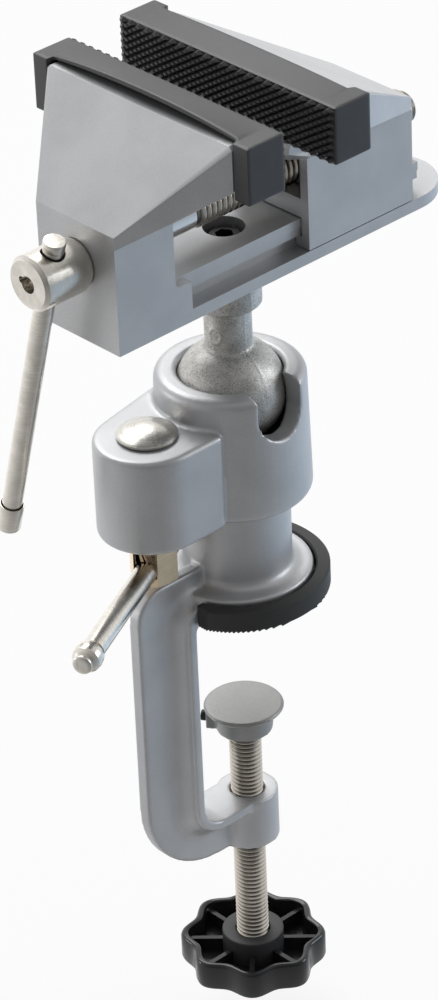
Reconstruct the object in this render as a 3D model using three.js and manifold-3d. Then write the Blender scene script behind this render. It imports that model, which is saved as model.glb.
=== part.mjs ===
// Swivel bench vise: a clamp for a table edge, a ball joint with one locking lever and a small two-jaw
// vise head. Millimetres, +Z up, X along the lead screw, the origin in the middle of the rubber pad's
// underside, which lies on the table top.
import * as THREE from "three";
import { ConvexGeometry } from "three/addons/geometries/ConvexGeometry.js";
import { mergeVertices } from "three/addons/utils/BufferGeometryUtils.js";
import Module from "manifold-3d";

const wasm = await Module();
wasm.setup();

// Clearances and small edges shared by all pieces
const fit = 0.3;
const overrun = 3;
const edge = 0.6;
const roundSteps = 56;
const smallSteps = 28;
const arcSteps = 6;

// Rubber pad and the flange that it grips
const padFloor = 2.4;
const padRim = 4.7;
const padHeight = 7.2;
const flangeRadius = 22.5;
const flangeThickness = 5.3;

// Post that rises into the ball housing
const socketRadius = 16.7;
const postFillet = 3;
const grooveDepth = 2.6;
const grooveHeight = 7;
const grooveDrop = 28;
const ballToPost = 1.6;

// Clamp frame: throat, spine and lower arm
const throatDepth = 24.5;
const throatHeight = 74.3;
const throatTopRadius = 3.5;
const throatLowRadius = 8;
const spineDepth = 17.5;
const webThickness = 4.4;
const armWidth = 16;
const armRim = 3;
const flareRadius = 5.8;
const ridgeRise = 6.2;
const ridgeRadius = 9.8;
const heelRadius = 28;
const bossRadius = 9.5;
const bossHeight = 17;

// Clamp screw, its foot and its knob
const clampRadius = 5;
const clampLength = 89.5;
const footOpening = 43;
const footHeight = 8.8;
const footRadius = 12.3;
const footNeckRadius = 8.6;
const footLip = 1.5;
const footBoreDepth = 5.6;
const footEndRadius = 4.1;
const footGrooveDepth = 0.9;
const footGrooveHeight = 3.4;
const footLugReach = 11.4;
const footLugWidth = 6;
const footScrewRadius = 1.1;
const footScrewHeadRadius = 1.7;
const footScrewHeadLength = 1.6;
const footScrewAngle = 125;
const knobRadius = 22.6;
const knobHeight = 9.8;
const knobScallop = 1.3;
const knobLobes = 8;
const knobWall = 2.3;
const knobFloor = 3;
const knobHubRadius = 9.6;
const knobHubRise = 1.7;
const knobRibWidth = 1.5;
const knobRibDrop = 2.4;

// Ball housing with its lobe for the locking bolt
const housingGap = 26.6;
const housingHeight = 40.4;
const housingRadius = 23.2;
const housingDraft = 0.8;
const housingRound = 2;
const rimRound = 2.8;
const rimFlare = 1.6;
const ballBelowRim = 7.5;
const slotWidth = 16.6;
const lobeRadius = 16;
const lobeDrop = 9.4;
const lobeRound = 1.4;
const lobeTaper = 11;
const lobeCorner = 17.8;
const lobeCornerRadius = 1.5;
const lobeRoof = 4.6;
const boltToHousing = 0.8;

// Two clamping shoes on the locking bolt
const shoeRadius = 10;
const shoeWidth = 12;
const shoeTravel = 1.5;
const lowerShoeHeight = 9.2;
const upperShoeHeight = 9;
const noseSlack = 0.8;

// Locking bolt, its nut and its lever
const boltRadius = 4;
const boltHeadRadius = 9;
const boltHeadRim = 0.9;
const boltHeadRise = 2.4;
const boltNeckWidth = 8;
const boltNeckHeight = 3.4;
const nutWidth = 13;
const nutDrop = 16.5;
const leverRadius = 3.4;
const leverDrop = 11.6;
const leverReach = 49;
const leverAngle = 206.6;
const leverSeat = 5;
const leverEndRadius = 4.2;
const leverEndLength = 6.8;
const leverEndStep = 1.7;
const leverTipRadius = 2.9;
const leverTipLength = 1.4;

// Ball with its stem
const stemRadius = 7;
const stemReach = 39.8;
const collarRadius = 10.2;
const collarHeight = 10.8;
const collarBlend = 2;
const stemScrewRadius = 3;
const stemScrewDepth = 15;
const stemScrewHeadRadius = 5;
const stemScrewHeadHeight = 6;
const stemScrewSocket = 5;
const stemScrewSocketDepth = 3.4;
const counterboreRadius = 6.2;
const counterboreDepth = 8.6;

// Bed with its rail
const bedThickness = 13.3;
const bedWidth = 32;
const bedReach = 63.8;
const bedFlangeThickness = 3.8;
const railWidth = 25.2;
const railStep = 0.4;
const railStepDepth = 2.8;
const railLip = 5.5;
const railGroove = 2.6;
const railReach = 65.4;
const blockFront = 55.2;
const blockLength = 21.8;
const shelfLength = 6;
const shelfDrop = 0.8;
const shelfFillet = 1.8;

// Jaws
const jawSideHeight = 20;
const jawBendHeight = 24;
const jawPlateBottom = 36;
const jawPlateTop = 49.7;
const jawPlateWidth = 75;
const jawPlateInset = 1.1;
const jawPlateThickness = 8.6;
const jawThroatHeight = 21.6;
const jawThroatWidth = 20;
const jawNotchRadius = 4.5;
const jawNotchSpread = 24;
const jawNotchRise = 26.9;
const fixedFace = 15.3;
const jawGap = 17.1;
const movingBlockSetback = 1.6;
const movingBlockLength = 41.8;
const jawWindowWidth = 25.8;
const jawWindowDepth = 6.2;
const jawWindowBottom = 6.3;
const jawWindowTop = 20.4;

// Rubber jaw caps
const capSlab = 5.8;
const capEnd = 5.9;
const capTop = 1.2;
const capBottom = 33.6;
const capTopSetback = 1;

// Lead screw, its nut, its hub and its handle
const screwRise = 10.8;
const threadRadius = 6;
const threadStart = 14.4;
const screwReach = 73.5;
const shankRadius = 5.6;
const journalRadius = 4;
const journalLength = 5;
const keeperRadius = 1.8;
const keeperInset = 10.8;
const keeperGrooveDepth = 1.1;
const keeperRecess = 0.6;
const jawNutWidth = 18;
const jawNutLength = 14;
const jawNutSetback = 6;
const hubRadius = 8.3;
const hubLength = 17.7;
const hubEdge = 1.1;
const hubHoleRadius = 2.6;
const hubNotchRadius = 1.1;
const handleSetback = 9.9;
const handleRadius = 3;
const handleHoleRadius = 3.6;
const handleLean = 15.5;
const handleLength = 100;
const handleRise = 9.2;
const handleSeat = 4;
const handleEndRadius = 3.65;
const handleEndLength = 9;
const handleTipRadius = 3.3;
const handleTipLength = 2.9;
const handleTenonRadius = 2;
const handleTenonLength = 1.6;

// Heights and places worked out from the sizes above
const flangeBottom = padFloor + fit;
const flangeTop = flangeBottom + flangeThickness;
const housingBottom = flangeTop + housingGap;
const housingTop = housingBottom + housingHeight;
const ballCentre = housingTop - ballBelowRim;
const ballRadius = socketRadius - fit;
const postRadius = socketRadius - fit;
const postTop = ballCentre - ballRadius - ballToPost;
const grooveBottom = ballCentre - grooveDrop;
const lobeTop = housingTop - lobeDrop;
const boltReach = housingRadius + boltToHousing + boltHeadRadius;
const leverHeight = housingBottom - leverDrop;
const bedBottom = ballCentre + stemReach;
const bedTop = bedBottom + bedThickness;
const screwHeight = bedTop + screwRise;
const plateTop = bedTop + jawPlateTop;
const footTop = -footOpening;
const footBottom = footTop - footHeight;
const clampTop = footBottom + footBoreDepth - fit;
const clampBottom = clampTop - clampLength;
const knobBottom = clampBottom - fit - knobFloor;
const knobTop = knobBottom + knobHeight;
const lowerShoeBottom = grooveBottom + grooveHeight / 2 - lowerShoeHeight / 2;
const upperShoeBottom = lowerShoeBottom + lowerShoeHeight + fit;
const upperShoeTop = upperShoeBottom + upperShoeHeight;
const boltEnd = leverHeight + leverRadius + fit + shoeTravel;
const hubCentre = blockFront + fit + handleSetback;

// Finishes
const PAINTED = { color: 0x8e949a, roughness: 0.5, metalness: 0.25 };
const CAST = { color: 0x8c8c88, roughness: 0.6, metalness: 0.7 };
const NICKEL = { color: 0xc6c1b6, roughness: 0.22, metalness: 1 };
const STEEL = { color: 0xb7b2a6, roughness: 0.35, metalness: 1 };
const BLACK_STEEL = { color: 0x1d1d1e, roughness: 0.45, metalness: 0.8 };
const RUBBER = { color: 0x333436, roughness: 0.8, metalness: 0 };
const PLASTIC = { color: 0x161617, roughness: 0.3, metalness: 0 };

// Turn a geometry into a solid, its faces outward whatever way its outline ran
function solid(geometry) {
  const bare = geometry.index ? geometry.toNonIndexed() : geometry.clone();
  bare.deleteAttribute("normal");
  bare.deleteAttribute("uv");
  const merged = mergeVertices(bare);
  const places = merged.attributes.position.array;
  const index = merged.index.array;
  const corner = (i) => new THREE.Vector3().fromArray(places, 3 * i);
  const triangles = [];
  let volume = 0;
  for (let i = 0; i < index.length; i += 3) {
    const [a, b, c] = [index[i], index[i + 1], index[i + 2]];
    if (a === b || b === c || c === a) continue;
    triangles.push([a, b, c]);
    volume += corner(a).dot(corner(b).cross(corner(c)));
  }
  const outward = triangles.map(([a, b, c]) => (volume < 0 ? [a, c, b] : [a, b, c]));
  const mesh = new wasm.Mesh({
    numProp: 3,
    vertProperties: places,
    triVerts: new Uint32Array(outward.flat()),
  });
  return new wasm.Manifold(mesh);
}

function join(...pieces) {
  return pieces.reduce((whole, piece) => whole.add(piece));
}

function cut(whole, ...tools) {
  return tools.reduce((rest, tool) => rest.subtract(tool), whole);
}

// A named mesh from a solid or a plain geometry
function part(name, shape, finish) {
  let geometry = shape;
  if (!shape.isBufferGeometry) {
    const mesh = shape.getMesh();
    geometry = new THREE.BufferGeometry();
    geometry.setAttribute("position", new THREE.BufferAttribute(mesh.vertProperties, 3));
    geometry.setIndex(new THREE.BufferAttribute(mesh.triVerts, 1));
  }
  geometry.computeVertexNormals();
  const made = new THREE.Mesh(geometry, new THREE.MeshStandardMaterial(finish));
  made.name = name;
  return made;
}

// Lay an outline drawn in X and Z across Y, centred on the plane through the lead screw
function acrossY(geometry) {
  return geometry.rotateX(Math.PI / 2);
}

// Turn a shape that stands along Z so that it lies along X
function alongX(geometry) {
  return geometry.rotateY(Math.PI / 2);
}

function box(x0, x1, y0, y1, z0, z1) {
  const geometry = new THREE.BoxGeometry(x1 - x0, y1 - y0, z1 - z0);
  return solid(geometry.translate((x0 + x1) / 2, (y0 + y1) / 2, (z0 + z1) / 2));
}

// A round bar standing along Z, from one height to the other
function rod(radius, z0, z1, steps = smallSteps) {
  const geometry = new THREE.CylinderGeometry(radius, radius, z1 - z0, steps).rotateX(Math.PI / 2);
  return geometry.translate(0, 0, (z0 + z1) / 2);
}

// A turned shape about Z from its outline of radius and height
function turned(outline, steps = roundSteps) {
  const points = outline.map(([radius, height]) => new THREE.Vector2(radius, height));
  return new THREE.LatheGeometry(points, steps).rotateX(Math.PI / 2);
}

// Points on an arc, angles in degrees
function arc(x, y, radius, from, to, steps = arcSteps) {
  return Array.from({ length: steps + 1 }, (_, i) => {
    const angle = THREE.MathUtils.degToRad(from + ((to - from) * i) / steps);
    return [x + radius * Math.cos(angle), y + radius * Math.sin(angle)];
  });
}

function outlineShape(points) {
  return new THREE.Shape(points.map(([x, y]) => new THREE.Vector2(x, y)));
}

function prism(points, z0, z1) {
  const options = { depth: z1 - z0, bevelEnabled: false };
  return new THREE.ExtrudeGeometry(outlineShape(points), options).translate(0, 0, z0);
}

// An outline in X and Z, as wide as given across Y
function prismAcross(points, width) {
  return solid(acrossY(prism(points, -width / 2, width / 2)));
}

// An outline in Y and Z, drawn from one X to the other
function prismAlong(points, x0, x1) {
  const geometry = prism(points, x0, x1);
  return solid(geometry.rotateX(Math.PI / 2).rotateZ(Math.PI / 2));
}

function hull(points) {
  return solid(new ConvexGeometry(points.map(([x, y, z]) => new THREE.Vector3(x, y, z))));
}

function mirrored(points) {
  return points.flatMap(([x, y, z]) => [
    [x, y, z],
    [x, -y, z],
  ]);
}

// Outline of the clamp frame in X and Z: a C with a round heel
function frameOutline() {
  const back = throatDepth + spineDepth;
  const ridge = flangeTop + ridgeRise;
  const low = -(throatHeight + bossHeight - edge);
  const step = throatDepth - throatTopRadius;
  return [
    [0, ridge],
    ...arc(-back + ridgeRadius, ridge - ridgeRadius, ridgeRadius, 90, 180),
    ...arc(-back + heelRadius, low + heelRadius, heelRadius, 180, 270, 2 * arcSteps),
    [0, low],
    [0, -throatHeight],
    ...arc(-throatDepth + throatLowRadius, -throatHeight + throatLowRadius, throatLowRadius, 270, 180),
    ...arc(-step, -throatTopRadius, throatTopRadius, 180, 90),
    [-step, flangeBottom],
    [0, flangeBottom],
  ];
}

// The hollow on one side of the frame, which leaves a thin web and a wide rim along the throat
function frameHollow(side) {
  const reach = armRim + flareRadius;
  const far = 2 * (throatDepth + spineDepth) + throatHeight;
  const step = throatDepth - throatTopRadius;
  const upper = flangeBottom + reach;
  const topRadius = throatTopRadius + reach;
  const lowRadius = throatLowRadius + reach;
  const points = [
    [overrun, upper],
    ...arc(-step, upper - topRadius, topRadius, 90, 180),
    ...arc(-throatDepth + throatLowRadius, -throatHeight + throatLowRadius, lowRadius, 180, 270),
    [overrun, -(throatHeight + reach)],
    [overrun, -far],
    [-far, -far],
    [-far, far],
    [overrun, far],
  ];
  const options = {
    depth: armWidth,
    bevelThickness: flareRadius,
    bevelSize: flareRadius,
    bevelSegments: 4,
  };
  const geometry = new THREE.ExtrudeGeometry(outlineShape(points), options);
  geometry.translate(0, 0, flareRadius + webThickness / 2).scale(1, 1, side);
  return solid(acrossY(geometry));
}

// Post with its flange at the foot and the locking groove near the top
function postOutline() {
  const grooveTop = grooveBottom + grooveHeight;
  return [
    [0, flangeBottom],
    [flangeRadius - edge, flangeBottom],
    [flangeRadius, flangeBottom + edge],
    [flangeRadius, flangeTop - edge],
    [flangeRadius - edge, flangeTop],
    ...arc(postRadius + postFillet, flangeTop + postFillet, postFillet, 270, 180),
    [postRadius, grooveBottom],
    [postRadius - grooveDepth, grooveBottom + edge],
    [postRadius - grooveDepth, grooveTop - edge],
    [postRadius, grooveTop],
    [postRadius, postTop - edge],
    [postRadius - edge, postTop],
    [0, postTop],
  ];
}

function clampFrame() {
  const arms = cut(prismAcross(frameOutline(), armWidth), frameHollow(1), frameHollow(-1));
  const boss = solid(rod(bossRadius, -(throatHeight + bossHeight), -throatHeight, roundSteps));
  const post = solid(turned(postOutline()));
  const tappedEnd = -(throatHeight + bossHeight + overrun);
  const tapped = solid(rod(clampRadius + fit, tappedEnd, -throatHeight + overrun));
  return part("clamp_frame", cut(join(arms, boss, post), tapped), PAINTED);
}

function rubberPad() {
  const inner = flangeRadius + fit;
  const outer = inner + padRim;
  const outline = [
    [0, 0],
    [outer - edge, 0],
    [outer, edge],
    [outer, padHeight - edge],
    [outer - edge, padHeight],
    [inner, padHeight],
    [inner, padFloor],
    [0, padFloor],
  ];
  const start = -(throatDepth - throatTopRadius) + fit;
  const gap = box(-outer - overrun, start, -outer - overrun, outer + overrun, -overrun, padHeight + overrun);
  return part("rubber_pad", cut(solid(turned(outline)), gap), RUBBER);
}

// Foot on top of the clamp screw: a thin disc on a round neck, with a lug for its side screw
function pressureFoot() {
  const outline = [
    [0, 0],
    [footNeckRadius, 0],
    [footNeckRadius + edge, footHeight - 2 * footLip],
    [footRadius - edge, footHeight - footLip],
    [footRadius, footHeight - footLip / 2],
    [footRadius - edge, footHeight],
    [0, footHeight],
  ];
  const lug = box(0, footLugReach, -footLugWidth / 2, footLugWidth / 2, 0, footHeight - footLip);
  const bore = solid(rod(footEndRadius + fit, -overrun, footBoreDepth));
  const side = solid(alongX(rod(footScrewRadius + fit, 0, footLugReach + overrun)));
  const hole = side.translate(0, 0, footBoreDepth / 2);
  return part("pressure_foot", cut(join(solid(turned(outline)), lug), bore, hole), CAST);
}

// Small cap screw in the lug, whose point runs in the clamp screw's groove
function footScrew() {
  const start = footEndRadius - footGrooveDepth + fit;
  const end = footLugReach + fit;
  const outline = [
    [0, start],
    [footScrewRadius, start],
    [footScrewRadius, end],
    [footScrewHeadRadius, end],
    [footScrewHeadRadius, end + footScrewHeadLength],
    [0, end + footScrewHeadLength],
  ];
  const made = part("foot_screw", alongX(turned(outline, smallSteps)), BLACK_STEEL);
  made.position.z = footBoreDepth / 2;
  return made;
}

function footGroup() {
  const group = new THREE.Group();
  group.add(pressureFoot(), footScrew());
  group.position.z = footBottom;
  group.rotation.z = THREE.MathUtils.degToRad(footScrewAngle);
  return group;
}

function clampScrew() {
  const middle = footBottom + footBoreDepth / 2;
  const shoulder = footBottom - fit;
  const outline = [
    [0, clampBottom],
    [clampRadius - edge, clampBottom],
    [clampRadius, clampBottom + edge],
    [clampRadius, shoulder - edge],
    [footEndRadius, shoulder],
    [footEndRadius, middle - footGrooveHeight / 2],
    [footEndRadius - footGrooveDepth, middle - footGrooveHeight / 2],
    [footEndRadius - footGrooveDepth, middle + footGrooveHeight / 2],
    [footEndRadius, middle + footGrooveHeight / 2],
    [footEndRadius, clampTop],
    [0, clampTop],
  ];
  return part("clamp_screw", turned(outline, smallSteps + arcSteps), STEEL);
}

// Rim of the knob: a circle with shallow scallops between its lobes
function knobRim(inset) {
  const steps = knobLobes * arcSteps * 2;
  return Array.from({ length: steps }, (_, i) => {
    const angle = (2 * Math.PI * i) / steps;
    const radius = knobRadius - inset - knobScallop * (1 - Math.cos(knobLobes * angle));
    return [radius * Math.cos(angle), radius * Math.sin(angle)];
  });
}

function clampKnob() {
  const rimRound = { depth: knobHeight - 2 * edge, bevelThickness: edge, bevelSize: edge, bevelSegments: 2 };
  const body = new THREE.ExtrudeGeometry(outlineShape(knobRim(edge)), rimRound);
  const well = solid(prism(knobRim(knobWall), knobBottom + knobFloor, knobTop + overrun));
  const hub = solid(rod(knobHubRadius, knobBottom + edge, knobTop + knobHubRise, roundSteps));
  const ribs = Array.from({ length: knobLobes / 2 }, (_, i) => {
    const reach = knobRadius - knobWall + edge;
    const half = knobRibWidth / 2;
    const rib = new THREE.BoxGeometry(2 * reach, 2 * half, knobHeight - knobRibDrop - edge);
    rib.rotateZ((2 * Math.PI * i) / knobLobes);
    return solid(rib.translate(0, 0, knobBottom + edge + (knobHeight - knobRibDrop - edge) / 2));
  });
  const shell = cut(solid(body.translate(0, 0, knobBottom + edge)), well);
  const bore = solid(rod(clampRadius + fit, knobBottom + knobFloor, knobTop + knobHubRise + overrun));
  return part("clamp_knob", cut(join(shell, hub, ...ribs), bore), PLASTIC);
}

// Outline of the housing's lobe in X and Y: round about the bolt, straight in front, tapered behind
function lobeOutline() {
  const taper = THREE.MathUtils.degToRad(lobeTaper);
  const run = boltReach - housingRadius / 4;
  const backX = -boltReach + lobeRadius * Math.cos(Math.PI / 2 + taper);
  const backY = lobeRadius * Math.sin(Math.PI / 2 + taper);
  const corner = [-lobeCorner - lobeCornerRadius, -lobeRadius + lobeCornerRadius];
  return [
    ...arc(-boltReach, 0, lobeRadius, 270, 90 + lobeTaper, 4 * arcSteps),
    [backX + run * Math.cos(taper), backY + run * Math.sin(taper)],
    [0, 0],
    [-lobeCorner, -lobeRadius / 2],
    ...arc(...corner, lobeCornerRadius, 0, -90, arcSteps / 2),
  ];
}

function lobeBlock() {
  const options = {
    depth: lobeTop - housingBottom - 2 * lobeRound,
    bevelThickness: lobeRound,
    bevelSize: lobeRound,
    bevelOffset: -lobeRound,
    bevelSegments: 3,
  };
  const geometry = new THREE.ExtrudeGeometry(outlineShape(lobeOutline()), options);
  return solid(geometry.translate(0, 0, housingBottom + lobeRound));
}

function ballHousing() {
  const outline = [
    [0, housingBottom],
    ...arc(housingRadius - housingRound, housingBottom + housingRound, housingRound, 270, 360, 3),
    ...arc(housingRadius - housingDraft - rimRound, housingTop - rimRound, rimRound, 0, 90),
    [0, housingTop],
  ];
  const flareRadii = [socketRadius - rimFlare, socketRadius + overrun - rimFlare / 2];
  const flare = [
    [0, housingTop - rimFlare],
    [flareRadii[0], housingTop - rimFlare],
    [flareRadii[1], housingTop + overrun],
    [0, housingTop + overrun],
  ];
  const ballRoom = new THREE.SphereGeometry(socketRadius, roundSteps, smallSteps).rotateX(Math.PI / 2);
  const slotRound = acrossY(rod(slotWidth / 2, 0, housingRadius + overrun)).translate(0, 0, ballCentre);
  const noseHalf = shoeWidth / 2 + fit;
  const neckEnd = lobeTop - boltNeckHeight;
  const neckHalf = boltNeckWidth / 2 + fit;
  const floor = housingBottom - overrun;
  return part(
    "ball_housing",
    cut(
      join(solid(turned(outline)), lobeBlock()),
      solid(rod(socketRadius, floor, ballCentre, roundSteps)),
      solid(ballRoom.translate(0, 0, ballCentre)),
      solid(turned(flare)),
      solid(slotRound),
      box(-slotWidth / 2, slotWidth / 2, -housingRadius - overrun, 0, ballCentre, housingTop + overrun),
      solid(rod(shoeRadius + fit, floor, lobeTop - lobeRoof).translate(-boltReach, 0, 0)),
      box(-boltReach, -socketRadius / 2, -noseHalf, noseHalf, floor, upperShoeTop + shoeTravel),
      box(-boltReach - neckHalf, -boltReach + neckHalf, -neckHalf, neckHalf, neckEnd, lobeTop + overrun),
      solid(rod(boltRadius + fit, lobeTop - lobeRoof - overrun, lobeTop).translate(-boltReach, 0, 0)),
    ),
    PAINTED,
  );
}

// One clamping shoe: a ring on the locking bolt with a nose toward the post
function shoe(z0, z1, nose0, nose1) {
  const ring = solid(rod(shoeRadius, z0, z1).translate(-boltReach, 0, 0));
  const nose = box(-boltReach, -socketRadius / 2, -shoeWidth / 2, shoeWidth / 2, nose0, nose1);
  const hole = solid(rod(boltRadius + fit, z0 - overrun, z1 + overrun).translate(-boltReach, 0, 0));
  return cut(join(ring, nose), hole);
}

function lowerShoe() {
  const nose0 = grooveBottom + noseSlack;
  const nose1 = grooveBottom + grooveHeight - noseSlack;
  const groove = solid(rod(postRadius - grooveDepth + fit, nose0 - overrun, nose1 + overrun, roundSteps));
  const body = shoe(lowerShoeBottom, lowerShoeBottom + lowerShoeHeight, nose0, nose1);
  return part("lower_clamp_shoe", cut(body, groove), STEEL);
}

function upperShoe() {
  const body = shoe(upperShoeBottom, upperShoeTop, postTop + fit, upperShoeTop);
  const ball = new THREE.SphereGeometry(ballRadius + fit, roundSteps, smallSteps).rotateX(Math.PI / 2);
  return part("upper_clamp_shoe", cut(body, solid(ball.translate(0, 0, ballCentre))), STEEL);
}

// Domed bolt through the lobe, square under its head
function lockingBolt() {
  const seat = lobeTop + fit;
  const dome = boltHeadRise ** 2 + boltHeadRadius ** 2;
  const sphere = dome / (2 * boltHeadRise);
  const crown = THREE.MathUtils.radToDeg(Math.asin(boltHeadRadius / sphere));
  const outline = [
    [0, boltEnd],
    [boltRadius, boltEnd],
    [boltRadius, seat],
    [boltHeadRadius, seat],
    ...arc(0, seat + boltHeadRim + boltHeadRise - sphere, sphere, 90 - crown, 90).slice(0, -1),
    [0, seat + boltHeadRim + boltHeadRise],
  ];
  const half = boltNeckWidth / 2;
  const neck = box(-half, half, -half, half, lobeTop - boltNeckHeight + fit, seat + edge / 2);
  const made = part("locking_bolt", join(solid(turned(outline)), neck), NICKEL);
  made.position.x = -boltReach;
  return made;
}

// Six-sided bar about Z, as wide across its flats as given, with two of them facing along X
function sixSided(width, z0, z1) {
  const across = width / Math.sqrt(3);
  const geometry = new THREE.CylinderGeometry(across, across, z1 - z0, 6).rotateX(Math.PI / 2);
  return solid(geometry.translate(0, 0, (z0 + z1) / 2));
}

// Long six-sided nut under the lobe, drilled across for the lever
function lockingNut() {
  const bottom = housingBottom - nutDrop;
  const top = lowerShoeBottom - fit;
  const round = nutWidth / 2;
  const outline = [
    [0, bottom],
    [round - edge / 2, bottom],
    [round + 2 * edge, bottom + edge],
    [round + 2 * edge, top - edge],
    [round - edge / 2, top],
    [0, top],
  ];
  const body = solid(turned(outline)).intersect(sixSided(nutWidth, bottom, top));
  const bore = solid(rod(boltRadius + fit, boltEnd - fit, top + overrun));
  const across = alongX(rod(leverRadius + fit, -nutWidth, nutWidth)).translate(0, 0, leverHeight);
  return part("locking_nut", cut(body, bore, solid(across)), NICKEL);
}

function lockingBar() {
  const start = -(nutWidth / 2 + fit + leverSeat);
  const made = part("locking_bar", alongX(rod(leverRadius, start, leverReach + leverSeat)), NICKEL);
  made.position.z = leverHeight;
  return made;
}

// Barrel on one end of the lever, with a blind seat for the bar
function leverEnd(name, length, tip, side) {
  const seatRadius = leverRadius + fit;
  const outline = [
    [seatRadius, 0],
    [leverEndRadius - edge, 0],
    [leverEndRadius, edge],
    [leverEndRadius, length - edge],
    [leverEndRadius - leverEndStep / 2, length],
    [leverTipRadius, length],
    [leverTipRadius, length + tip],
    [0, length + tip],
    [0, leverSeat + fit],
    [seatRadius, leverSeat + fit],
    [seatRadius, 0],
  ];
  const made = part(name, alongX(turned(outline, smallSteps)), NICKEL);
  made.position.z = leverHeight;
  made.position.x = side > 0 ? leverReach : -(nutWidth / 2 + fit);
  made.rotation.z = side > 0 ? 0 : Math.PI;
  return made;
}

function leverGroup() {
  const group = new THREE.Group();
  group.add(lockingNut(), lockingBar());
  group.add(leverEnd("locking_bar_end", leverEndLength, leverTipLength, 1));
  group.add(leverEnd("locking_bar_stop", leverSeat + 2 * fit, leverEndStep / 2, -1));
  group.position.x = -boltReach;
  group.rotation.z = THREE.MathUtils.degToRad(leverAngle);
  return group;
}

// Ball, stem and collar in one casting, tapped for the screw through the bed
function ballStem() {
  const top = bedBottom - fit;
  const neck = THREE.MathUtils.radToDeg(Math.acos(stemRadius / ballRadius));
  const outline = [
    ...arc(0, ballCentre, ballRadius, -90, neck, 3 * arcSteps),
    [stemRadius, top - collarHeight - collarBlend],
    [stemRadius + edge, top - collarHeight - edge],
    [collarRadius, top - collarHeight],
    [collarRadius, top],
    [stemScrewRadius + fit, top],
    [stemScrewRadius + fit, top - stemScrewDepth - fit],
    [0, top - stemScrewDepth - fit],
  ];
  outline[0] = [0, ballCentre - ballRadius];
  return part("ball_stem", turned(outline), CAST);
}

// Socket-head screw that holds the head on the stem
function stemScrew() {
  const seat = bedTop - counterboreDepth + fit;
  const end = bedBottom - fit - stemScrewDepth;
  const top = seat + stemScrewHeadHeight;
  const outline = [
    [0, end],
    [stemScrewRadius, end],
    [stemScrewRadius, seat],
    [stemScrewHeadRadius, seat],
    [stemScrewHeadRadius, top - edge],
    [stemScrewHeadRadius - edge, top],
    [0, top],
  ];
  const socket = sixSided(stemScrewSocket, top - stemScrewSocketDepth, top + overrun);
  return part("stem_screw", cut(solid(turned(outline, smallSteps)), socket), BLACK_STEEL);
}

// Bed plate in X and Y, with a half-round rear end
function bedPlate() {
  const half = bedWidth / 2;
  const end = arc(bedReach, 0, half, -90, 90, 4 * arcSteps);
  const points = [[-blockFront, -half], ...end, [-blockFront, half]];
  return solid(prism(points, bedBottom, bedBottom + bedFlangeThickness));
}

// Rail in Y and Z: a stepped side over a groove that the moving jaw hooks into
function rail() {
  const half = railWidth / 2;
  const side = [
    [half - railGroove, bedBottom + edge],
    [half - railGroove, bedTop - railLip],
    [half - railStep, bedTop - railLip],
    [half - railStep, bedTop - railStepDepth],
    [half, bedTop - railStepDepth],
    [half, bedTop],
  ];
  const other = side.map(([y, z]) => [-y, z]).reverse();
  return prismAlong([...side, ...other], -blockFront + edge, railReach);
}

// Front block under the fixed jaw, in X and Z
function frontBlock() {
  const inner = -(blockFront - blockLength);
  const shelf = bedTop - shelfDrop;
  const points = [
    [-blockFront, bedBottom],
    [inner + shelfLength, bedBottom],
    [inner + shelfLength, shelf],
    ...arc(inner + shelfFillet, shelf + shelfFillet, shelfFillet, 270, 180, arcSteps / 2),
    [inner, bedTop + jawSideHeight],
    [-blockFront, bedTop + jawSideHeight],
  ];
  return prismAcross(points, bedWidth);
}

// Upper body of a jaw: from the block's top it spreads out to the wide jaw plate. x runs from the
// block's outer face to its inner face, then the plate's back and its front.
function jawBody(outer, inner, back, front) {
  const half = bedWidth / 2;
  const wide = jawPlateWidth / 2;
  const side = bedTop + jawSideHeight;
  const low = bedTop + jawPlateBottom;
  return hull(
    mirrored([
      [outer, half, side],
      [outer, half, bedTop + jawBendHeight],
      [inner, half, side],
      [back, wide - jawPlateInset, plateTop],
      [front, wide - jawPlateInset, plateTop],
      [back, wide, plateTop - jawPlateInset],
      [front, wide, plateTop - jawPlateInset],
      [back, wide, low],
      [front, wide, low],
      [front, jawThroatWidth / 2, bedTop + jawThroatHeight],
    ]),
  );
}

// Two round notches in the lower edge of a jaw's wings
function jawNotches(x0, x1) {
  return [-1, 1].map((side) => {
    const notch = alongX(rod(jawNotchRadius, x0 - overrun, x1 + overrun));
    return solid(notch.translate(0, side * jawNotchSpread, bedTop + jawNotchRise));
  });
}

// Bore along the lead screw
function screwBore(x0, x1) {
  return solid(alongX(rod(threadRadius + fit, x0, x1)).translate(0, 0, screwHeight));
}

function fixedPlateFront() {
  return -(fixedFace + capSlab + fit);
}

function movingPlateFront() {
  return -fixedFace + jawGap + capSlab + fit;
}

function movingBlockFront() {
  return movingPlateFront() + jawPlateThickness + movingBlockSetback;
}

function viseBed() {
  const front = fixedPlateFront();
  const inner = -(blockFront - blockLength);
  const jaw = jawBody(-blockFront, inner, front - jawPlateThickness, front);
  const through = solid(rod(stemScrewRadius + fit, bedBottom - overrun, bedTop));
  const counterbore = solid(rod(counterboreRadius, bedTop - counterboreDepth, bedTop + overrun, roundSteps));
  const keeper = solid(rod(keeperRadius + fit, bedBottom - overrun, screwHeight));
  return part(
    "vise_bed",
    cut(
      join(bedPlate(), rail(), frontBlock(), jaw),
      screwBore(-blockFront - overrun, inner + overrun),
      through,
      counterbore,
      keeper.translate([-blockFront + keeperInset, 0, 0]),
      ...jawNotches(front - jawPlateThickness, front),
    ),
    PAINTED,
  );
}

// Pin from below that runs in the shank's groove and keeps the lead screw in its block
function keeperPin() {
  const top = screwHeight - shankRadius + keeperGrooveDepth - fit;
  const made = part("keeper_pin", rod(keeperRadius, bedBottom + keeperRecess, top), STEEL);
  made.position.x = -blockFront + keeperInset;
  return made;
}

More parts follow.
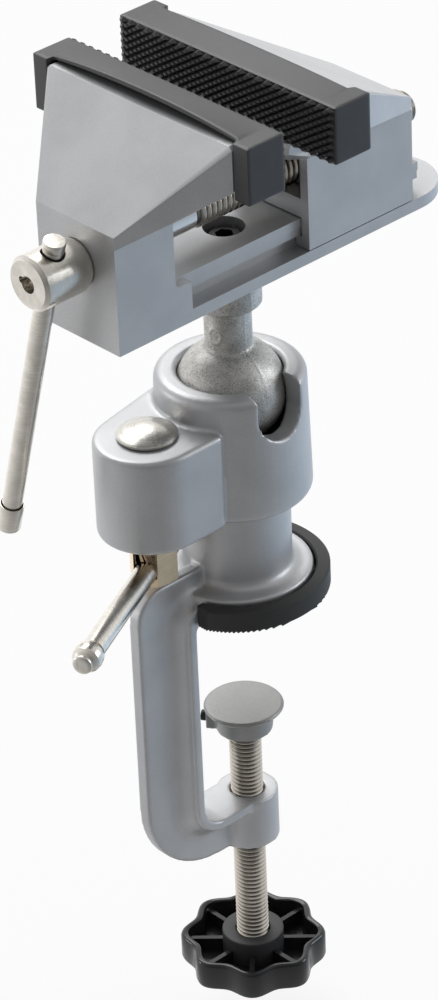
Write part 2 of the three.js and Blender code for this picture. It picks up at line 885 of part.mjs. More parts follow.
// T-shaped room for the rail under the moving jaw
function railRoom(x0, x1) {
  const half = railWidth / 2 + fit;
  const hook = half - railGroove;
  const lip = bedTop - railLip - fit;
  const points = [
    [hook, bedBottom],
    [hook, lip],
    [half, lip],
    [half, bedTop + fit],
  ];
  const other = points.map(([y, z]) => [-y, z]).reverse();
  return prismAlong([...points, ...other], x0, x1);
}

// Opening in the front of the moving jaw, where the screw runs into its nut
function jawWindow(front) {
  const half = jawWindowWidth / 2;
  const rear = front + jawWindowDepth;
  return box(front - overrun, rear, -half, half, bedTop + jawWindowBottom, bedTop + jawWindowTop);
}

function movingJaw() {
  const front = movingBlockFront();
  const rear = front + movingBlockLength;
  const plate = movingPlateFront();
  const half = bedWidth / 2;
  const bottom = bedBottom + bedFlangeThickness + fit;
  const block = box(front, rear, -half, half, bottom, bedTop + jawSideHeight);
  const jaw = jawBody(rear, front, plate + jawPlateThickness, plate);
  const nutFront = front + jawNutSetback;
  const nutHalf = jawNutWidth / 2 + fit;
  const nutRear = nutFront + jawNutLength + fit;
  const nutRoom = box(nutFront - fit, nutRear, -nutHalf, nutHalf, bedTop, screwHeight + nutHalf);
  return part(
    "moving_jaw",
    cut(
      join(block, jaw),
      railRoom(front - overrun, rear + overrun),
      screwBore(front - overrun, rear + overrun),
      nutRoom,
      jawWindow(front),
      ...jawNotches(plate, plate + jawPlateThickness),
    ),
    PAINTED,
  );
}

// Square nut in a pocket that opens down onto the rail
function jawNut() {
  const front = movingBlockFront() + jawNutSetback;
  const rear = front + jawNutLength;
  const half = jawNutWidth / 2;
  const body = box(front, rear, -half, half, screwHeight - half, screwHeight + half);
  return part("jaw_nut", cut(body, screwBore(front - overrun, rear + overrun)), STEEL);
}

// Rubber cap over a jaw plate: a thick slab with two ends and a thin top. face is the gripping face,
// way is +1 where the plate lies behind it toward +X and -1 where it lies toward -X.
function jawCap(name, face, way) {
  const half = jawPlateWidth / 2 + fit;
  const outer = half + capEnd;
  const back = capSlab + fit + jawPlateThickness;
  const top = plateTop + fit + capTop;
  const bottom = bedTop + capBottom;
  const span = (near, far, y0, y1, z0, z1) => {
    const [x0, x1] = [face + way * near, face + way * far].sort((a, b) => a - b);
    return box(x0, x1, y0, y1, z0, z1);
  };
  const body = span(0, back, -outer, outer, bottom, top);
  const room = span(capSlab, back + overrun, -half, half, bottom - overrun, plateTop + fit);
  const trim = span(back - capTopSetback, back + overrun, -half, half, bottom, top + overrun);
  return part(name, cut(body, room, trim), RUBBER);
}

// Lead screw: journal in the hub, plain shank with a groove for the keeper, then the thread
function leadScrew() {
  const start = -(blockFront + fit);
  const groove = -blockFront + keeperInset;
  const grooveHalf = keeperRadius + fit;
  const outline = [
    [0, start - journalLength],
    [journalRadius, start - journalLength],
    [journalRadius, start + fit],
    [shankRadius, start + fit],
    [shankRadius, groove - grooveHalf],
    [shankRadius - keeperGrooveDepth, groove - grooveHalf],
    [shankRadius - keeperGrooveDepth, groove + grooveHalf],
    [shankRadius, groove + grooveHalf],
    [shankRadius, -threadStart],
    [threadRadius, -threadStart + edge],
    [threadRadius, screwReach - 2 * edge],
    [threadRadius - 2 * edge, screwReach],
    [0, screwReach],
  ];
  const made = part("lead_screw", alongX(turned(outline, smallSteps + arcSteps)), NICKEL);
  made.position.z = screwHeight;
  return made;
}

// Hub on the front of the lead screw, drilled across for the handle. It lies along X about the origin.
function spindleHub() {
  const front = -(hubLength - handleSetback);
  const outline = [
    [0, front],
    [hubRadius - hubEdge, front],
    [hubRadius, front + hubEdge],
    [hubRadius, handleSetback - 2 * hubEdge],
    [hubRadius - hubEdge, handleSetback],
    [0, handleSetback],
  ];
  const body = solid(alongX(turned(outline)));
  const seat = handleSetback - journalLength - fit;
  const journal = solid(alongX(rod(journalRadius + fit, seat, handleSetback + overrun)));
  const eye = solid(alongX(rod(hubHoleRadius, front - overrun, 0)));
  const notch = solid(alongX(rod(hubNotchRadius, front - overrun, 0)).translate(0, hubHoleRadius, 0));
  const across = solid(rod(handleHoleRadius, -hubRadius - overrun, hubRadius + overrun));
  return part("spindle_hub", cut(body, journal, eye, notch, across), NICKEL);
}

// Handle bar with a short tenon for its tip
function handleBar() {
  const low = -(handleLength - handleRise);
  const outline = [
    [0, low],
    [handleRadius, low],
    [handleRadius, handleRise],
    [handleTenonRadius, handleRise],
    [handleTenonRadius, handleRise + handleTenonLength],
    [0, handleRise + handleTenonLength],
  ];
  return part("handle_bar", turned(outline, smallSteps), NICKEL);
}

// Flat sleeve on the handle's lower end
function handleEnd() {
  const low = -(handleLength - handleRise);
  const seat = handleRadius + fit;
  const outline = [
    [0, low + handleSeat - handleEndLength],
    [handleEndRadius - edge, low + handleSeat - handleEndLength],
    [handleEndRadius, low + handleSeat - handleEndLength + edge],
    [handleEndRadius, low + handleSeat],
    [seat, low + handleSeat],
    [seat, low - fit],
    [0, low - fit],
  ];
  return part("handle_end", turned(outline, smallSteps), NICKEL);
}

// Short round tip on the handle's upper end
function handleTip() {
  const low = handleRise + fit;
  const seat = handleTenonRadius + fit;
  const outline = [
    [0, low + handleTenonLength],
    [seat, low + handleTenonLength],
    [seat, low],
    [handleTipRadius, low],
    [handleTipRadius, low + handleTipLength - edge],
    [handleTipRadius - edge, low + handleTipLength],
    [0, low + handleTipLength],
  ];
  return part("handle_tip", turned(outline, smallSteps), NICKEL);
}

function handleGroup() {
  const group = new THREE.Group();
  group.add(spindleHub(), handleBar(), handleEnd(), handleTip());
  group.position.set(-hubCentre, 0, screwHeight);
  group.rotation.x = THREE.MathUtils.degToRad(handleLean);
  return group;
}

function baseGroup() {
  const group = new THREE.Group();
  group.add(clampFrame(), rubberPad(), footGroup(), clampScrew(), clampKnob());
  return group;
}

function jointGroup() {
  const group = new THREE.Group();
  group.add(ballHousing(), lowerShoe(), upperShoe(), lockingBolt(), leverGroup(), ballStem());
  return group;
}

function headGroup() {
  const group = new THREE.Group();
  group.add(viseBed(), stemScrew(), keeperPin(), movingJaw(), jawNut());
  group.add(jawCap("fixed_jaw_cap", -fixedFace, -1), jawCap("moving_jaw_cap", -fixedFace + jawGap, 1));
  group.add(leadScrew(), handleGroup());
  return group;
}

const vise = new THREE.Group();
vise.add(baseGroup(), jointGroup(), headGroup());

export default vise;
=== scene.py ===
"""Looks of the swivel bench vise.

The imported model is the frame. First come the node trees, the finishes and the helpers for meshes. Then
each class is one sub-assembly of the vise: its fields are sizes in millimetres, and its methods build the
meshes and give them their finish. main() makes them all.
"""

import logging
import math
from collections.abc import Callable, Sequence
from dataclasses import dataclass
from enum import Enum
from functools import cache

import bmesh
import bpy
from mathutils import Matrix, Vector


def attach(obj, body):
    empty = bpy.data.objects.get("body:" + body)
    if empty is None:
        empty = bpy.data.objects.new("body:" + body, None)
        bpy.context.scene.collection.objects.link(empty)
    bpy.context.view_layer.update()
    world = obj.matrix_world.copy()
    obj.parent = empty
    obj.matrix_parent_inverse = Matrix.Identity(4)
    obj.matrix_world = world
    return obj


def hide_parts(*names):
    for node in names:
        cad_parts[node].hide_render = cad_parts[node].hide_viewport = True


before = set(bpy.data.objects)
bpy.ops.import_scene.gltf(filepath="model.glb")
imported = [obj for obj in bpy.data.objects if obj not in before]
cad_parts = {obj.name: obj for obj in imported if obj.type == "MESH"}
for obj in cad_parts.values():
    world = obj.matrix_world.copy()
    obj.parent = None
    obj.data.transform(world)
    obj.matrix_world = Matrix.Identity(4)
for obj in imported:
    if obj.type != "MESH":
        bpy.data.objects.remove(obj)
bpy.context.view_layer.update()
log = logging.getLogger("vise")

MM = 0.001
# Two points of the frame's loose triangles closer than this, in metres, are one point.
WELD = 2e-6
# Faces that meet at a smaller bend than this are one flat face.
FLAT = math.radians(0.6)
# A turned outline ends this far from its axis, in millimetres, and a flat face closes the rest.
AXIS_GAP = 0.6
# A rounded corner of an outline has this many chords and takes at most this share of each side.
CORNER_CHORDS = 3
CORNER_SHARE = 0.45
# Thin turned pieces have this many sides.
SIDES = 64
# Edges with a sharper bend than this get rounded.
SHARP = math.radians(30.0)
# Edges with a sharper bend than this, in degrees, stay sharp on tumbled castings.
TUMBLED_ANGLE = 50.0
WHITE = (1.0, 1.0, 1.0, 1.0)
Colour = tuple[float, float, float]
Triple = tuple[float, float, float]
Outline = Sequence[tuple[float, float]]


class Body(Enum):
    """The moving bodies of the vise."""

    BASE = "base"
    FOOT = "foot"
    CLAMP = "clamp_spindle"
    HOUSING = "housing"
    LOCK = "lock"
    BALL = "ball"
    HEAD = "head"
    JAW = "jaw"
    SPINDLE = "spindle"
    HANDLE = "handle"


class Slot(Enum):
    """The material slots of the record."""

    PAINT = "painted_aluminium"
    CAST = "cast_aluminium"
    NICKEL = "nickel_plate"
    STEEL = "plain_steel"
    BLACK_STEEL = "black_steel"
    RUBBER = "black_rubber"
    PLASTIC = "black_plastic"


class Axis(Enum):
    """Axes that turned pieces of the vise lie along."""

    X = (1.0, 0.0, 0.0)
    Z = (0.0, 0.0, 1.0)


class Signal:
    """A node's output socket that takes part in Python sums. Each sum adds a Math node."""

    def __init__(self, graph: "Graph", socket: bpy.types.NodeSocket) -> None:
        """Wraps an output socket of a graph."""
        self.graph = graph
        self.socket = socket

    def math(self, operation: str, *values: "Signal | float") -> "Signal":
        """Adds one Math node with these inputs, in order."""
        return self.graph.out("ShaderNodeMath", {"operation": operation}, dict(enumerate(values)))

    def __add__(self, other: "Signal | float") -> "Signal":
        """Adds another value."""
        return self.math("ADD", self, other)

    def __radd__(self, other: float) -> "Signal":
        """Adds this signal to a number."""
        return self.math("ADD", other, self)

    def __sub__(self, other: "Signal | float") -> "Signal":
        """Takes another value away."""
        return self.math("SUBTRACT", self, other)

    def __rsub__(self, other: float) -> "Signal":
        """Takes this signal away from a number."""
        return self.math("SUBTRACT", other, self)

    def __mul__(self, other: "Signal | float") -> "Signal":
        """Multiplies by another value."""
        return self.math("MULTIPLY", self, other)

    def __rmul__(self, other: float) -> "Signal":
        """Multiplies a number by this signal."""
        return self.math("MULTIPLY", other, self)

    def __truediv__(self, other: "Signal | float") -> "Signal":
        """Divides by another value."""
        return self.math("DIVIDE", self, other)

    def __rtruediv__(self, other: float) -> "Signal":
        """Divides a number by this signal."""
        return self.math("DIVIDE", other, self)

    def __pow__(self, other: float) -> "Signal":
        """Raises to a power."""
        return self.math("POWER", self, other)

    def least(self, other: "Signal | float") -> "Signal":
        """Takes the smaller of this and another value."""
        return self.math("MINIMUM", self, other)

    def most(self, other: "Signal | float") -> "Signal":
        """Takes the larger of this and another value."""
        return self.math("MAXIMUM", self, other)

    def mixed(self, off: "Signal | float", on: "Signal | float") -> "Signal":
        """Gives one value where this signal is 0 and the other where it is 1."""
        return self.graph.out("ShaderNodeMix", {"data_type": "FLOAT"}, {0: self, 2: off, 3: on})

    def root(self) -> "Signal":
        """Takes the square root."""
        return self.math("SQRT", self)

    def between(self, low: float, high: float) -> "Signal":
        """Rises smoothly from 0 at the low value to 1 at the high one."""
        values = {"Value": self, "From Min": low, "From Max": high}
        return self.graph.out("ShaderNodeMapRange", {"interpolation_type": "SMOOTHSTEP"}, values)


class Graph:
    """Adds nodes to one node tree of any kind."""

    def __init__(self, tree: bpy.types.NodeTree) -> None:
        """Works on a node tree."""
        self.tree = tree

    def node(self, kind: str, settings: dict | None = None, values: dict | None = None) -> bpy.types.Node:
        """Adds one node.

        Args:
            kind: the node's type.
            settings: its properties, set first.
            values: numbers, signals or lists of signals for its inputs, by name or place.

        Returns:
            The node.
        """
        made = self.tree.nodes.new(kind)
        for key, value in (settings or {}).items():
            setattr(made, key, value)
        for key, value in (values or {}).items():
            for item in value if isinstance(value, list) else [value]:
                if isinstance(item, Signal):
                    self.tree.links.new(item.socket, made.inputs[key])
                else:
                    made.inputs[key].default_value = item
        return made

    def out(
        self, kind: str, settings: dict | None = None, values: dict | None = None, output: str | int = 0
    ) -> Signal:
        """Adds one node, as node() does, and wraps the output of that name or place."""
        return Signal(self, self.node(kind, settings, values).outputs[output])


class Shader(Graph):
    """The node tree of one finish."""

    def __init__(self, material: bpy.types.Material) -> None:
        """Clears a material's tree.

        Args:
            material: the material to fill.
        """
        material.use_nodes = True
        super().__init__(material.node_tree)
        self.tree.nodes.clear()
        self.place = self.out("ShaderNodeTexCoord", output="Object")

    def grains(self, size: float, detail: float = 2.0, stretch: Triple | None = None) -> Signal:
        """Even noise.

        Args:
            size: how large its grains are, in millimetres.
            detail: how many finer layers it has.
            stretch: how much closer it gets along X, Y and Z.

        Returns:
            The noise, about 0.5 on average.
        """
        place = self.place
        if stretch:
            place = self.out("ShaderNodeMapping", None, {"Vector": self.place, "Scale": stretch})
        values = {"Vector": place, "Scale": 1 / (size * MM), "Detail": detail, "Roughness": 0.55}
        return self.out("ShaderNodeTexNoise", {"noise_dimensions": "3D"}, values)

    def pits(self, size: float) -> Signal:
        """Gives small round pits, that many millimetres apart, which are 0 in their middles."""
        values = {"Vector": self.place, "Scale": 1 / (size * MM), "Randomness": 1.0}
        return self.out("ShaderNodeTexVoronoi", {"feature": "F1"}, values, "Distance")

    def off_axis(self, axis: Axis, through: Triple) -> Signal:
        """Distance from a line, in millimetres.

        Args:
            axis: the line's direction.
            through: a point on it, in millimetres.

        Returns:
            The distance of each point of the surface.
        """
        parts = self.node("ShaderNodeSeparateXYZ", None, {0: self.place})
        squares = [
            (Signal(self, parts.outputs[i]) * (1 / MM) - through[i]) ** 2.0
            for i in range(3)
            if not axis.value[i]
        ]
        return (squares[0] + squares[1]).root()

    def along(self, axis: Axis) -> Signal:
        """Gives the distance along an axis, in millimetres."""
        parts = self.node("ShaderNodeSeparateXYZ", None, {0: self.place})
        return Signal(self, parts.outputs[list(axis.value).index(1.0)]) * (1 / MM)

    def blend(self, factor: Signal, first: Colour, second: "Colour | Signal") -> Signal:
        """Mixes two colours, of which the second may be mixed already; factor 0 gives the first."""
        values = {0: factor, 6: (*first, 1.0), 7: second if isinstance(second, Signal) else (*second, 1.0)}
        return self.out("ShaderNodeMix", {"data_type": "RGBA", "clamp_factor": True}, values, 2)

    def surface(
        self, colour: Signal, metallic: float, roughness: Signal, relief: Signal, depth: float
    ) -> None:
        """Ends the tree in a Principled shader.

        Args:
            colour: its base colour.
            metallic: how metallic it is.
            roughness: how rough it is.
            relief: height of its fine relief, 0 to 1.
            depth: how deep the relief is, in millimetres.
        """
        normal = self.out("ShaderNodeBump", None, {"Height": relief, "Distance": depth * MM, "Strength": 1.0})
        inputs = {"Base Color": colour, "Metallic": metallic, "Roughness": roughness, "Normal": normal}
        shader = self.out("ShaderNodeBsdfPrincipled", None, inputs)
        self.node("ShaderNodeOutputMaterial", None, {"Surface": shader})


@dataclass(frozen=True)
class Finish:
    """A surface finish with its material slot."""

    name: str
    slot: Slot

    @cache
    def material(self) -> bpy.types.Material:
        """Builds the material once."""
        made = bpy.data.materials.new(self.name)
        self.fill(Shader(made))
        return made

    def fill(self, shader: Shader) -> None:
        """Builds the finish's nodes in an empty tree."""
        raise NotImplementedError


@dataclass(frozen=True)
class SatinPaint(Finish):
    """Satin silver paint on a die casting: even, with a very fine grain."""

    name: str = "satin silver paint"
    slot: Slot = Slot.PAINT
    light: Colour = (0.545, 0.55, 0.56)
    dark: Colour = (0.43, 0.435, 0.445)
    grain: float = 0.32
    peel: float = 1.7
    drift: float = 17.0
    sheen: float = 0.36
    metallic: float = 0.7
    depth: float = 0.016

    def fill(self, shader: Shader) -> None:
        """Builds grain, slight unevenness and sheen."""
        grain = shader.grains(self.grain, 3.0)
        peel = shader.grains(self.peel, 1.0)
        drift = shader.grains(self.drift, 2.0)
        tone = grain.between(0.25, 0.75) * 0.6 + drift.between(0.3, 0.7) * 0.4
        colour = shader.blend(tone, self.dark, self.light)
        roughness = self.sheen + 0.09 * drift + 0.06 * grain
        shader.surface(colour, self.metallic, roughness, 0.6 * grain + 0.4 * peel, self.depth)


@dataclass(frozen=True)
class BareCasting(Finish):
    """Blasted bare casting: grainy, pitted and slightly mottled."""

    name: str = "bare blasted casting"
    slot: Slot = Slot.CAST
    light: Colour = (0.66, 0.65, 0.625)
    dark: Colour = (0.2, 0.196, 0.187)
    grain: float = 0.34
    pit: float = 0.55
    patch: float = 5.0
    roughness: float = 0.38
    metallic: float = 0.85
    depth: float = 0.11

    def fill(self, shader: Shader) -> None:
        """Builds the blasted grain, its pits and darker patches."""
        grain = shader.grains(self.grain, 4.0)
        pits = shader.pits(self.pit).between(0.05, 0.45)
        patch = shader.grains(self.patch, 3.0).between(0.3, 0.7)
        relief = 0.8 * grain + 0.2 * pits
        tone = relief.between(0.34, 0.74) * 0.7 + patch * 0.3
        colour = shader.blend(tone, self.dark, self.light)
        shader.surface(colour, self.metallic, self.roughness + 0.16 * (1 - tone), relief, self.depth)


@dataclass(frozen=True)
class TurnedMetal(Finish):
    """Bright turned metal with fine rings round its axis."""

    name: str = "bright nickel"
    slot: Slot = Slot.NICKEL
    axis: Axis = Axis.Z
    light: Colour = (0.8, 0.765, 0.7)
    dark: Colour = (0.62, 0.59, 0.535)
    ring: float = 0.16
    smear: float = 5.0
    roughness: float = 0.15
    depth: float = 0.006

    def fill(self, shader: Shader) -> None:
        """Builds the turning rings and a faint cloudiness."""
        along = tuple(1.0 if part else 0.03 for part in self.axis.value)
        rings = shader.grains(self.ring, 2.0, along)
        smear = shader.grains(self.smear, 3.0)
        tone = 0.5 * rings + 0.5 * smear
        colour = shader.blend(tone.between(0.3, 0.7), self.dark, self.light)
        shader.surface(colour, 1.0, self.roughness + 0.1 * smear + 0.08 * rings, rings, self.depth)


@dataclass(frozen=True)
class ScrewMetal(Finish):
    """Bright screw whose thread is darker toward its root as painted shade, with a plain part along the first
    stretch.
    """

    name: str = "bright thread"
    slot: Slot = Slot.NICKEL
    axis: Axis = Axis.Z
    through: Triple = (0.0, 0.0, 0.0)
    root: float = 4.1
    crest: float = 5.0
    plain_to: float = -1000.0
    light: Colour = (0.66, 0.615, 0.545)
    dark: Colour = (0.13, 0.115, 0.1)
    plain: Colour = (0.82, 0.8, 0.77)
    grain: float = 0.3
    depth: float = 0.012

    def fill(self, shader: Shader) -> None:
        """Builds the bright crests, the roots darkened with painted shade and the polished plain part."""
        reach = shader.off_axis(self.axis, self.through).between(self.root, self.crest)
        grain = shader.grains(self.grain, 3.0)
        threaded = shader.along(self.axis).between(self.plain_to, self.plain_to + 0.4)
        # Painted shade: the colour darkens toward the thread's root, where shade falls between the flanks.
        root_shaded_tone = shader.blend(reach * 0.8 + grain * 0.25, self.dark, self.light)
        colour = shader.blend(threaded, self.plain, root_shaded_tone)
        roughness = threaded.mixed(0.1, 0.36 - 0.14 * reach + 0.08 * grain)
        shader.surface(colour, 1.0, roughness, grain, self.depth)


@dataclass(frozen=True)
class DarkFinish(Finish):
    """Black steel, rubber or plastic: one dark colour with its own grain and gloss."""

    colour: Colour = (0.03, 0.031, 0.033)
    lighter: Colour = (0.045, 0.046, 0.048)
    roughness: float = 0.6
    spread: float = 0.1
    grain: float = 0.25
    cloud: float = 9.0
    depth: float = 0.02
    metallic: float = 0.0

    def fill(self, shader: Shader) -> None:
        """Builds the fine grain and the soft clouds of a dark surface."""
        grain = shader.grains(self.grain, 3.0)
        cloud = shader.grains(self.cloud, 3.0)
        tone = 0.4 * grain.between(0.3, 0.7) + 0.6 * cloud.between(0.3, 0.7)
        colour = shader.blend(tone, self.colour, self.lighter)
        roughness = self.roughness + self.spread * (cloud - 0.5) + self.spread * (grain - 0.5)
        shader.surface(colour, self.metallic, roughness, grain, self.depth)


PAINT = SatinPaint()
CASTING = BareCasting()
SMOOTH_CASTING = SatinPaint("smooth casting", Slot.CAST, (0.34, 0.34, 0.335), (0.25, 0.25, 0.245))
NICKEL_X = TurnedMetal("bright nickel along X", axis=Axis.X)
NICKEL_Z = TurnedMetal("bright nickel along Z")
# Painted reflection: the long nut's nickel is tinted warm all over, standing in for a warm reflection on it.
NUT_NICKEL = TurnedMetal(
    "nickel with painted warm reflection", light=(0.8, 0.63, 0.43), dark=(0.66, 0.5, 0.33), ring=0.4, roughness=0.2
)
DOME_NICKEL = TurnedMetal(
    "satin nickel", light=(0.66, 0.64, 0.6), dark=(0.5, 0.48, 0.44), ring=0.3, roughness=0.18
)
STEEL = TurnedMetal(
    "plain steel", Slot.STEEL, light=(0.62, 0.6, 0.57), dark=(0.45, 0.43, 0.41), roughness=0.28
)
BLACK_STEEL = DarkFinish(
    "blackened steel",
    Slot.BLACK_STEEL,
    colour=(0.014, 0.014, 0.015),
    lighter=(0.03, 0.03, 0.031),
    roughness=0.4,
    metallic=0.5,
    depth=0.01,
)
RUBBER = DarkFinish(
    "black rubber", Slot.RUBBER, colour=(0.027, 0.027, 0.029), lighter=(0.036, 0.036, 0.039), roughness=0.39
)
PAD_RUBBER = DarkFinish(
    "black pad rubber", Slot.RUBBER, colour=(0.014, 0.014, 0.014), lighter=(0.022, 0.022, 0.021), grain=0.4
)
PLASTIC = DarkFinish(
    "glossy black plastic",
    Slot.PLASTIC,
    colour=(0.01, 0.01, 0.011),
    lighter=(0.014, 0.014, 0.015),
    roughness=0.17,
    spread=0.06,
    grain=2.5,
    depth=0.01,
)
MATT_PLASTIC = DarkFinish(
    "matt black plastic",
    Slot.PLASTIC,
    colour=(0.028, 0.028, 0.03),
    lighter=(0.04, 0.04, 0.043),
    roughness=0.55,
    grain=0.2,
)


class Recipe(Graph):
    """A Geometry Nodes tree with named inputs that adds a repeated form to a mesh."""

    def __init__(self, name: str, sizes: Sequence[str], counts: Sequence[str] = ()) -> None:
        """Makes the tree with its inputs and output.

        Args:
            name: the tree's name.
            sizes: names of the inputs that are lengths.
            counts: names of the inputs that are whole numbers.
        """
        super().__init__(bpy.data.node_groups.new(name, "GeometryNodeTree"))
        face = self.tree.interface
        face.new_socket("Geometry", in_out="OUTPUT", socket_type="NodeSocketGeometry")
        face.new_socket("Geometry", in_out="INPUT", socket_type="NodeSocketGeometry")
        self.keys: dict[str, str] = {}
        for kind, names in (("NodeSocketFloat", sizes), ("NodeSocketInt", counts)):
            for key in names:
                self.keys[key] = face.new_socket(key, in_out="INPUT", socket_type=kind).identifier
        material = face.new_socket("Material", in_out="INPUT", socket_type="NodeSocketMaterial")
        self.keys["Material"] = material.identifier
        self.inputs = self.tree.nodes.new("NodeGroupInput")

    def given(self, name: str) -> Signal:
        """Gives one named input."""
        return Signal(self, self.inputs.outputs[name])

    def vector(self, x: Signal | float = 0.0, y: Signal | float = 0.0, z: Signal | float = 0.0) -> Signal:
        """Joins three numbers or signals to a vector."""
        return self.out("ShaderNodeCombineXYZ", None, {0: x, 1: y, 2: z})

    def moved(self, shape: Signal, offset: Signal, turn: Triple = (0.0, 0.0, 0.0)) -> Signal:
        """Moves a geometry and turns it by angles about X, Y and Z."""
        values = {"Geometry": shape, "Translation": offset, "Rotation": turn}
        return self.out("GeometryNodeTransform", None, values)

    def close(self, *added: Signal) -> None:
        """Joins the added forms to the incoming mesh and ends the tree.

        Args:
            added: geometries to join.
        """
        joined = self.out("GeometryNodeJoinGeometry", None, {0: [self.given("Geometry"), *added]})
        real = self.out("GeometryNodeRealizeInstances", None, {0: joined})
        values = {"Geometry": real, "Material": self.given("Material")}
        dressed = self.out("GeometryNodeSetMaterial", None, values)
        self.tree.links.new(dressed.socket, self.tree.nodes.new("NodeGroupOutput").inputs[0])

    def run(self, base: bpy.types.Mesh | None, finish: Finish, values: dict[str, float]) -> bpy.types.Mesh:
        """Runs the tree on a mesh.

        Args:
            base: the mesh that the form is added to, or None for the form alone.
            finish: the finish of the result.
            values: the named inputs, lengths in millimetres and counts as whole numbers.

        Returns:
            A plain mesh.
        """
        holder = linked("recipe holder", base or bpy.data.meshes.new("no base"))
        modifier = holder.modifiers.new("Recipe", "NODES")
        modifier.node_group = self.tree
        for key, value in values.items():
            modifier[self.keys[key]] = value if isinstance(value, int) else value * MM
        modifier[self.keys["Material"]] = finish.material()
        return taken(holder)


class ThreadRecipe(Recipe):
    """A screw thread: one ridge wound round a core, sunk into it at both ends."""

    steps_per_turn: int = 40
    run_out_turns: float = 0.6
    sink_share: float = 1.5
    foot_share: float = 1.9
    crest_share: float = 0.16

    def __init__(self) -> None:
        """Builds the spiral, its profile and the run-out at its ends."""
        super().__init__("thread", ("Start", "Length", "Pitch", "Root", "Depth"))
        pitch, depth, root = self.given("Pitch"), self.given("Depth"), self.given("Root")
        turns = self.given("Length") / pitch
        values = {
            "Resolution": self.steps_per_turn,
            "Rotations": turns,
            "Start Radius": root,
            "End Radius": root,
            "Height": self.given("Length"),
        }
        spiral = self.out("GeometryNodeCurveSpiral", None, values)
        along = self.out("GeometryNodeSplineParameter", output="Factor") * turns
        sunk = 1 - along.least(turns - along).between(0.0, self.run_out_turns)
        place = self.out("GeometryNodeInputPosition")
        shrink = sunk * depth * -self.sink_share / root
        flat = self.out("ShaderNodeVectorMath", {"operation": "MULTIPLY"}, {0: place, 1: (1.0, 1.0, 0.0)})
        inward = self.out("ShaderNodeVectorMath", {"operation": "SCALE"}, {0: flat, "Scale": shrink})
        spiral = self.out("GeometryNodeSetPosition", None, {"Geometry": spiral, "Offset": inward})
        spiral = self.out("GeometryNodeSetCurveNormal", {"mode": "Z_UP"}, {"Curve": spiral})
        sizes = {
            "Height": 2 * depth,
            "Bottom Width": pitch * self.foot_share,
            "Top Width": pitch * self.crest_share,
            "Offset": 0.0,
        }
        profile = self.out("GeometryNodeCurvePrimitiveQuadrilateral", {"mode": "TRAPEZOID"}, sizes)
        profile = self.moved(profile, self.vector(), (0.0, 0.0, math.pi / 2))
        swept = {"Curve": spiral, "Profile Curve": profile, "Fill Caps": True}
        ridge = self.out("GeometryNodeCurveToMesh", None, swept)
        self.close(self.moved(ridge, self.vector(z=self.given("Start"))))

    def wind(
        self, core: Outline, finish: "ScrewMetal", start: float, length: float, pitch: float, depth: float
    ) -> bpy.types.Mesh:
        """Turns a screw's core about Z and winds the thread round it, on the root of its finish."""
        values = {"Start": start, "Length": length, "Pitch": pitch, "Root": finish.root, "Depth": depth}
        return shaded(self.run(turned(core), finish, values))


class StudRecipe(Recipe):
    """A field of blunt diamonds in staggered rows, in the plane of X and Y."""

    tip_share: float = 0.2
    foot_share: float = 0.5

    def __init__(self) -> None:
        """Builds two grids of points, the second between the first, with a diamond on each."""
        super().__init__("studs", ("Length", "Height", "Rise"), ("Columns", "Rows"))
        length, height = self.given("Length"), self.given("Height")
        sizes = {
            "Vertices": 4,
            "Radius Top": self.tip_share,
            "Radius Bottom": self.foot_share,
            "Depth": self.given("Rise"),
        }
        stud = self.out("GeometryNodeMeshCone", {"fill_type": "NGON"}, sizes, "Mesh")
        fields = []
        for fewer in (0, 1):
            columns, rows = self.given("Columns") - fewer, self.given("Rows") - fewer
            grid = {
                "Size X": (columns - 1) * length,
                "Size Y": (rows - 1) * height,
                "Vertices X": columns,
                "Vertices Y": rows,
            }
            points = self.out("GeometryNodeMeshGrid", None, grid, "Mesh")
            spread = {"Points": points, "Instance": stud, "Scale": self.vector(length, height, 1.0)}
            fields.append(self.out("GeometryNodeInstanceOnPoints", None, spread))
        self.close(*fields)


class RingRecipe(Recipe):
    """Equal bars set round the Z axis, such as ribs or knurls."""

    def __init__(self) -> None:
        """Builds one bar beside the axis and repeats it round the axis."""
        super().__init__("ring of bars", ("Inner", "Outer", "Width", "Bottom", "Top"), ("Count",))
        inner, outer = self.given("Inner"), self.given("Outer")
        bottom, top = self.given("Bottom"), self.given("Top")
        size = self.vector(outer - inner, self.given("Width"), top - bottom)
        bar = self.out("GeometryNodeMeshCube", None, {"Size": size}, "Mesh")
        bar = self.moved(bar, self.vector((inner + outer) * 0.5, 0.0, (bottom + top) * 0.5))
        values = {"Count": self.given("Count"), "Offset": (0.0, 0.0, 0.0)}
        points = self.out("GeometryNodeMeshLine", {"mode": "OFFSET"}, values)
        step = 2 * math.pi / self.given("Count")
        turn = self.out("GeometryNodeInputIndex") * step
        ring = {"Points": points, "Instance": bar, "Rotation": self.vector(z=turn)}
        self.close(self.out("GeometryNodeInstanceOnPoints", None, ring))


class RibRecipe(Recipe):
    """Straight ribs under a round pad, each as long as the pad is there."""

    def __init__(self) -> None:
        """Builds bars along X, side by side, whose lengths follow the circle."""
        super().__init__("underside ribs", ("First", "Step", "Radius", "Width", "Height"), ("Count",))
        step, height = self.given("Step"), self.given("Height")
        start, offset = self.vector(y=self.given("First")), self.vector(y=step)
        values = {"Count": self.given("Count"), "Start Location": start, "Offset": offset}
        points = self.out("GeometryNodeMeshLine", {"mode": "OFFSET"}, values)
        beside = self.given("First") + self.out("GeometryNodeInputIndex") * step
        length = (self.given("Radius") ** 2.0 - beside**2.0).root() * 2.0
        size = self.vector(1.0, self.given("Width"), height)
        bar = self.out("GeometryNodeMeshCube", None, {"Size": size}, "Mesh")
        bar = self.moved(bar, self.vector(z=height * 0.5))
        row = {"Points": points, "Instance": bar, "Scale": self.vector(length, 1.0, 1.0)}
        self.close(self.out("GeometryNodeInstanceOnPoints", None, row))


def linked(name: str, data: bpy.types.ID) -> bpy.types.Object:
    """Makes an object and links it into the scene.

    Args:
        name: the object's name.
        data: its mesh, camera or lamp.

    Returns:
        The object.
    """
    made = bpy.data.objects.new(name, data)
    bpy.context.collection.objects.link(made)
    return made


